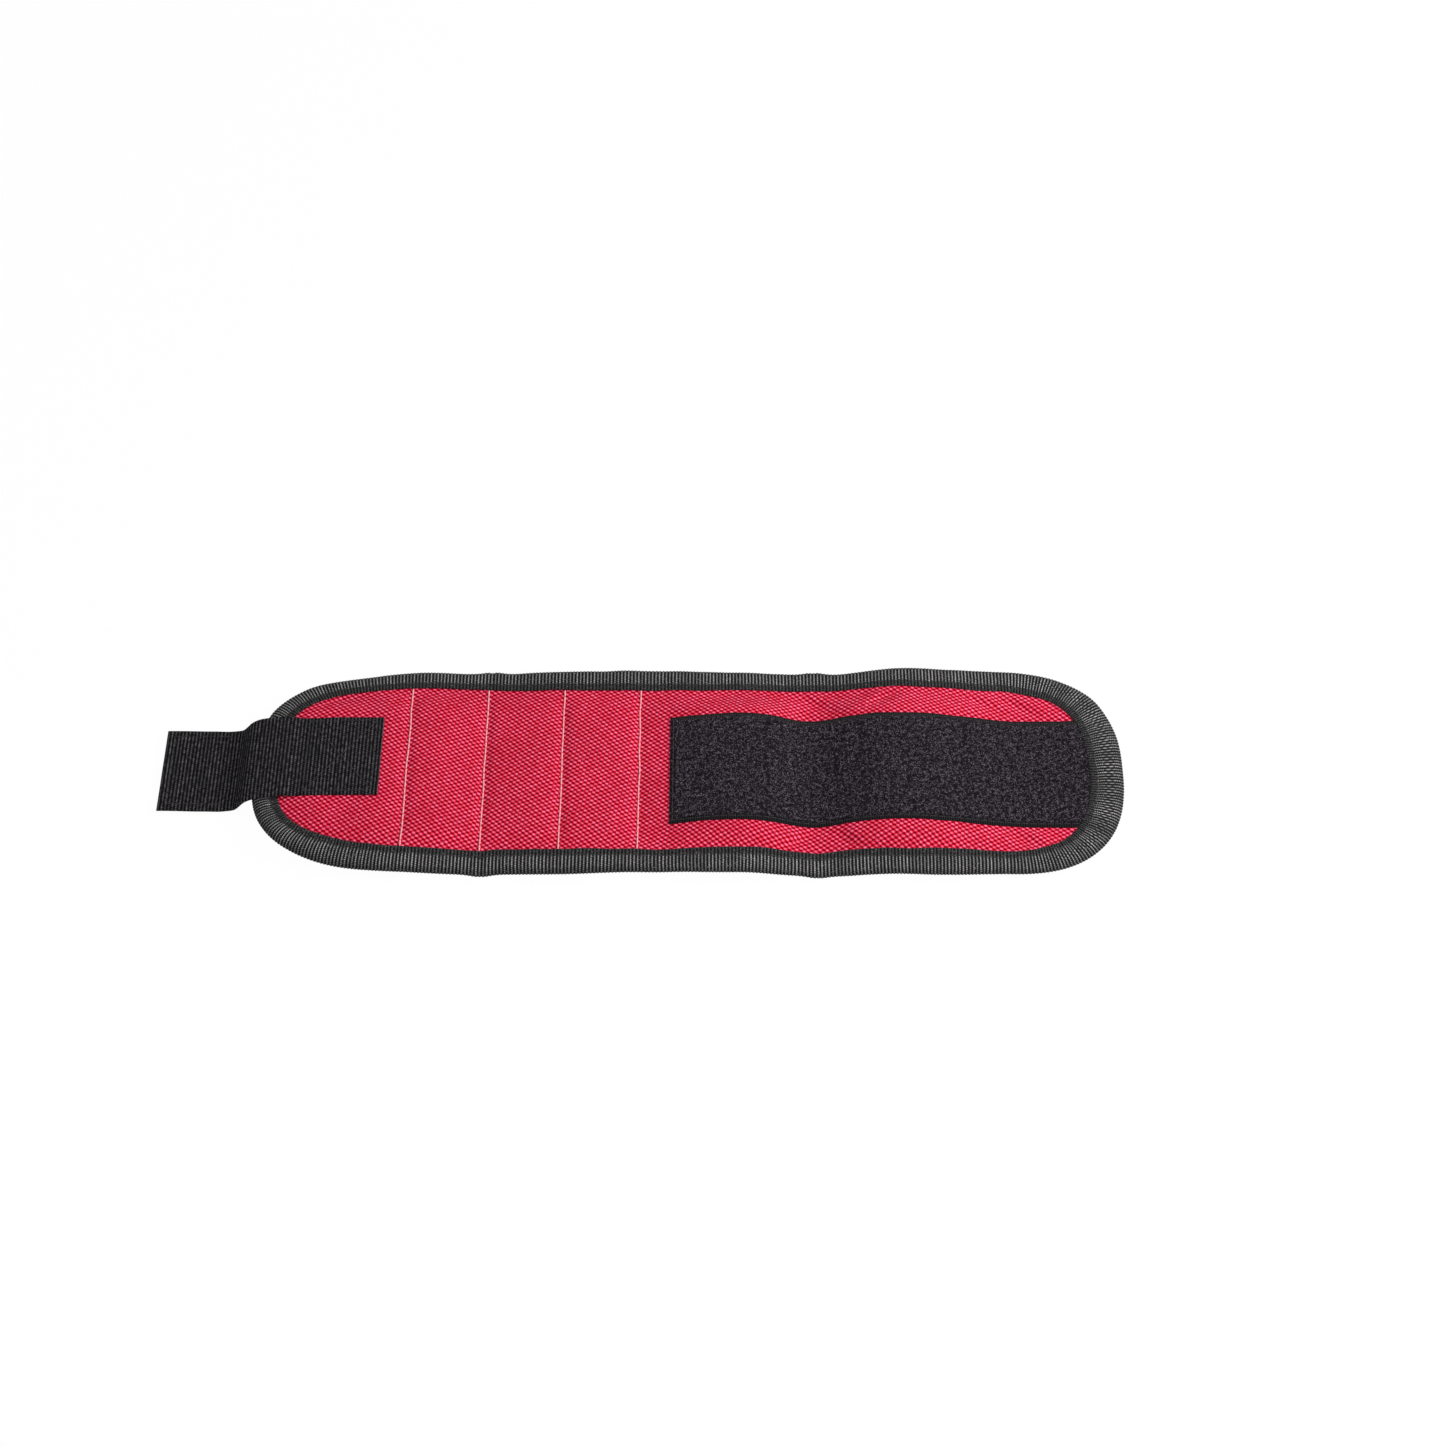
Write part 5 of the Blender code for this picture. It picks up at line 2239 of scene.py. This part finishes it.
        low, high = self.run_at_x(self.tab.x - 2.2 * MM), self.length - 1.5 * MM
        tape = self._hook_tape(low, high)
        self._bend(tape, bridge, flat)
        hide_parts("hook_tape")
        hooks = strand_piece("hook_tape_hooks", self._hooks(low, high), 0.07 * MM, 5, 0.7)
        dress(hooks, self.finishes.hooks, Slot.HOOK_TAPE)
        self._bend(hooks, bridge, flat)
        rows = strand_piece(
            "strap_tab_stitch", self._tab_stitching(low, high - 1.5 * MM), BORDER_THREAD, 6
        )
        dress(rows, self.finishes.dark_thread, Slot.STRAP_WEBBING)
        self._bend(rows, bridge, flat)


@dataclass
class Magnets:
    """Disc magnets in the pockets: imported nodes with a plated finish."""

    nodes: dict[str, Piece]
    finishes: Finishes

    def names(self) -> list[str]:
        """Names of the magnet nodes."""
        return sorted(name for name in self.nodes if name.startswith("magnet_"))

    def centres(self) -> list[tuple[float, float]]:
        """Plan position of each magnet.

        Returns:
            X and Y of each.
        """
        found = []
        for name in self.names():
            low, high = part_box(name)
            found.append(((low.x + high.x) / 2, (low.y + high.y) / 2))
        return found

    def build(self) -> None:
        """Gives each magnet its finish."""
        for name in self.names():
            dress(self.nodes[name], self.finishes.nickel, Slot.MAGNET)


# --- Stage ---


@dataclass
class Stage:
    """Pale floor, soft light and the camera."""

    target: Vector = field(default_factory=lambda: Vector((30.5 * MM, 25.1 * MM, 0.0)))
    distance: float = 1.074
    elevation: float = math.radians(52.2)
    lens: float = 69.3
    sensor: float = 36.0
    floor_half: float = 3.0
    floor_drop: float = 0.2 * MM
    clear_share: float = 0.97
    ambient: float = 0.42

    def add_floor(self) -> None:
        """Pale floor, nearly clear so that the closed cuff is seen below it."""
        corners = [(x * self.floor_half, y * self.floor_half, -self.floor_drop)
                   for x, y in ((-1, -1), (1, -1), (1, 1), (-1, 1))]
        mesh = bpy.data.meshes.new("floor")
        mesh.from_pydata(corners, [], [(0, 1, 2, 3)])
        floor = bpy.data.objects.new("floor", mesh)
        bpy.context.scene.collection.objects.link(floor)
        floor.visible_shadow = False
        material = bpy.data.materials.new("pale_floor")
        material.use_nodes = True
        pen = NodePen(material.node_tree)
        shader = material.node_tree.nodes["Principled BSDF"]
        shader.inputs["Base Color"].default_value = (0.96, 0.96, 0.96, 1.0)
        shader.inputs["Roughness"].default_value = 1.0
        shader.inputs["Specular IOR Level"].default_value = 0.0
        clear = pen.add("BsdfTransparent")
        mixed = pen.add(
            "MixShader", {0: 1.0 - self.clear_share, 1: clear.outputs[0], 2: shader.outputs[0]}
        )
        pen.feed(material.node_tree.nodes["Material Output"].inputs["Surface"], mixed.outputs[0])
        mesh.materials.append(material)

    def add_light(self) -> None:
        """White surroundings and two large soft lamps, the brighter one from the right."""
        world = bpy.data.worlds.new("studio")
        bpy.context.scene.world = world
        world.use_nodes = True
        background = world.node_tree.nodes["Background"]
        background.inputs["Color"].default_value = (1.0, 1.0, 1.0, 1.0)
        pen = NodePen(world.node_tree)
        seen = pen.add("LightPath").outputs["Is Camera Ray"]
        strength = pen.add("MapRange", {"Value": seen, "To Min": self.ambient, "To Max": 1.0})
        pen.feed(background.inputs["Strength"], strength.outputs[0])
        lamps = (
            ("key", Vector((0.95, 0.20, 0.62)), 0.45, 12.5),
            ("fill", Vector((-0.1, -0.9, 1.0)), 0.9, 6.5),
        )
        for name, place, size, power in lamps:
            lamp = bpy.data.lights.new(name, "AREA")
            lamp.size = size
            lamp.energy = power
            holder = bpy.data.objects.new(name, lamp)
            holder.location = place
            holder.rotation_euler = (self.target - place).to_track_quat("-Z", "Y").to_euler()
            bpy.context.scene.collection.objects.link(holder)

    def add_camera(self) -> None:
        """Camera in front of the band, looking down at it."""
        lens = bpy.data.cameras.new("camera")
        lens.lens = self.lens
        lens.sensor_width = self.sensor
        lens.clip_end = 20.0
        camera = bpy.data.objects.new("camera", lens)
        back = Vector((0.0, -math.cos(self.elevation), math.sin(self.elevation)))
        camera.location = self.target + back * self.distance
        camera.rotation_euler = (-back).to_track_quat("-Z", "Y").to_euler()
        bpy.context.scene.collection.objects.link(camera)
        bpy.context.scene.camera = camera
        bpy.context.scene.view_settings.view_transform = "Standard"

    def build(self) -> None:
        """Adds the floor, the light and the camera."""
        self.add_floor()
        self.add_light()
        self.add_camera()


def band_shape(frame: dict) -> BandShape:
    """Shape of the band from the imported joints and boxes.


    Returns:
        The band's shape, with the middle standing higher than the edges at its two arches.
    """
    places = {joint["name"]: joint["pos_m"] for joint in frame["joints"]}
    left = places["wrap_bend_strap"][0] + STRAP_ROOT_GAP
    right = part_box("binding_right_end")[1].x
    folds = [places[name] for name in FOLD_JOINTS]
    fold_x = np.array([left, *(p[0] for p in folds), right])
    fold_z = np.array([TIP_AXIS_HEIGHTS[0], *(p[2] for p in folds), TIP_AXIS_HEIGHTS[1]])
    lifts = LiftTable(
        stations=(-147.5, -118, -89, -60, -30, -1, 10, 32, 50, 66, 80, 106, 145, 185),
        rows={
            -47.5: (-1.5, -1.9, -1.8, 0, -0.5, 0, -1.0, -3.6, -1.4, 0, -2.2, -5.3, 0.6, 0.8),
            -26.5: (0, 0, -0.6, 0, -1.2, -1.2, -1.2, -0.9, 1.2, 0, 1.4, -1.2, 0, 0.8),
            23.5: (0, 0, -0.6, 0, -1.2, -1.2, -1.2, -0.9, 1.2, 0, 1.6, -0.9, -0.2, 1.6),
            37.0: (-1.0, -1.6, -2.3, 0, -1.6, -1.3, -2.0, -4.6, -2.2, 0, -0.4, -2.6, -0.2, 2.6),
            47.5: (-1.5, -3.3, -3.2, 0, -0.5, 0, -1.0, -4.0, -2.2, 0, -1.0, -2.0, 0.8, 3.2),
        },
    )
    return BandShape(fold_x, fold_z, lifts)


def report(part: object, names: Iterable[str]) -> None:
    """Logs each piece of a sub-assembly."""
    for name in sorted(names):
        LOG.info("%s: %s", type(part).__name__, name)


def main() -> None:
    """Builds the sub-assemblies in order and sets the stage."""
    logging.basicConfig(level=logging.INFO, format="%(name)s: %(message)s")
    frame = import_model()
    finishes = Finishes()
    shape = band_shape(frame)
    relief = ClothRelief(shape)
    magnets = Magnets(frame["nodes"], finishes)
    places = {joint["name"]: Vector(joint["pos_m"]) for joint in frame["joints"]}
    strap = HookStrap(
        shape, relief, finishes, places["wrap_bend_strap"], places["strap_peel"],
        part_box("strap_tab")[0].x,
    )
    magnets.build()
    report(magnets, magnets.names())
    parts = (
        MeshLining(shape, relief, finishes, magnets.centres()),
        OuterFabric(shape, relief, finishes),
        PocketStitching(shape, relief, finishes),
        Binding(shape, finishes),
        LoopPanel(shape, relief, finishes),
        strap,
        Stage(),
    )
    for part in parts:
        before = set(bpy.data.objects.keys())
        part.build()
        report(part, set(bpy.data.objects.keys()) - before)


if __name__ == "__main__":
    main()
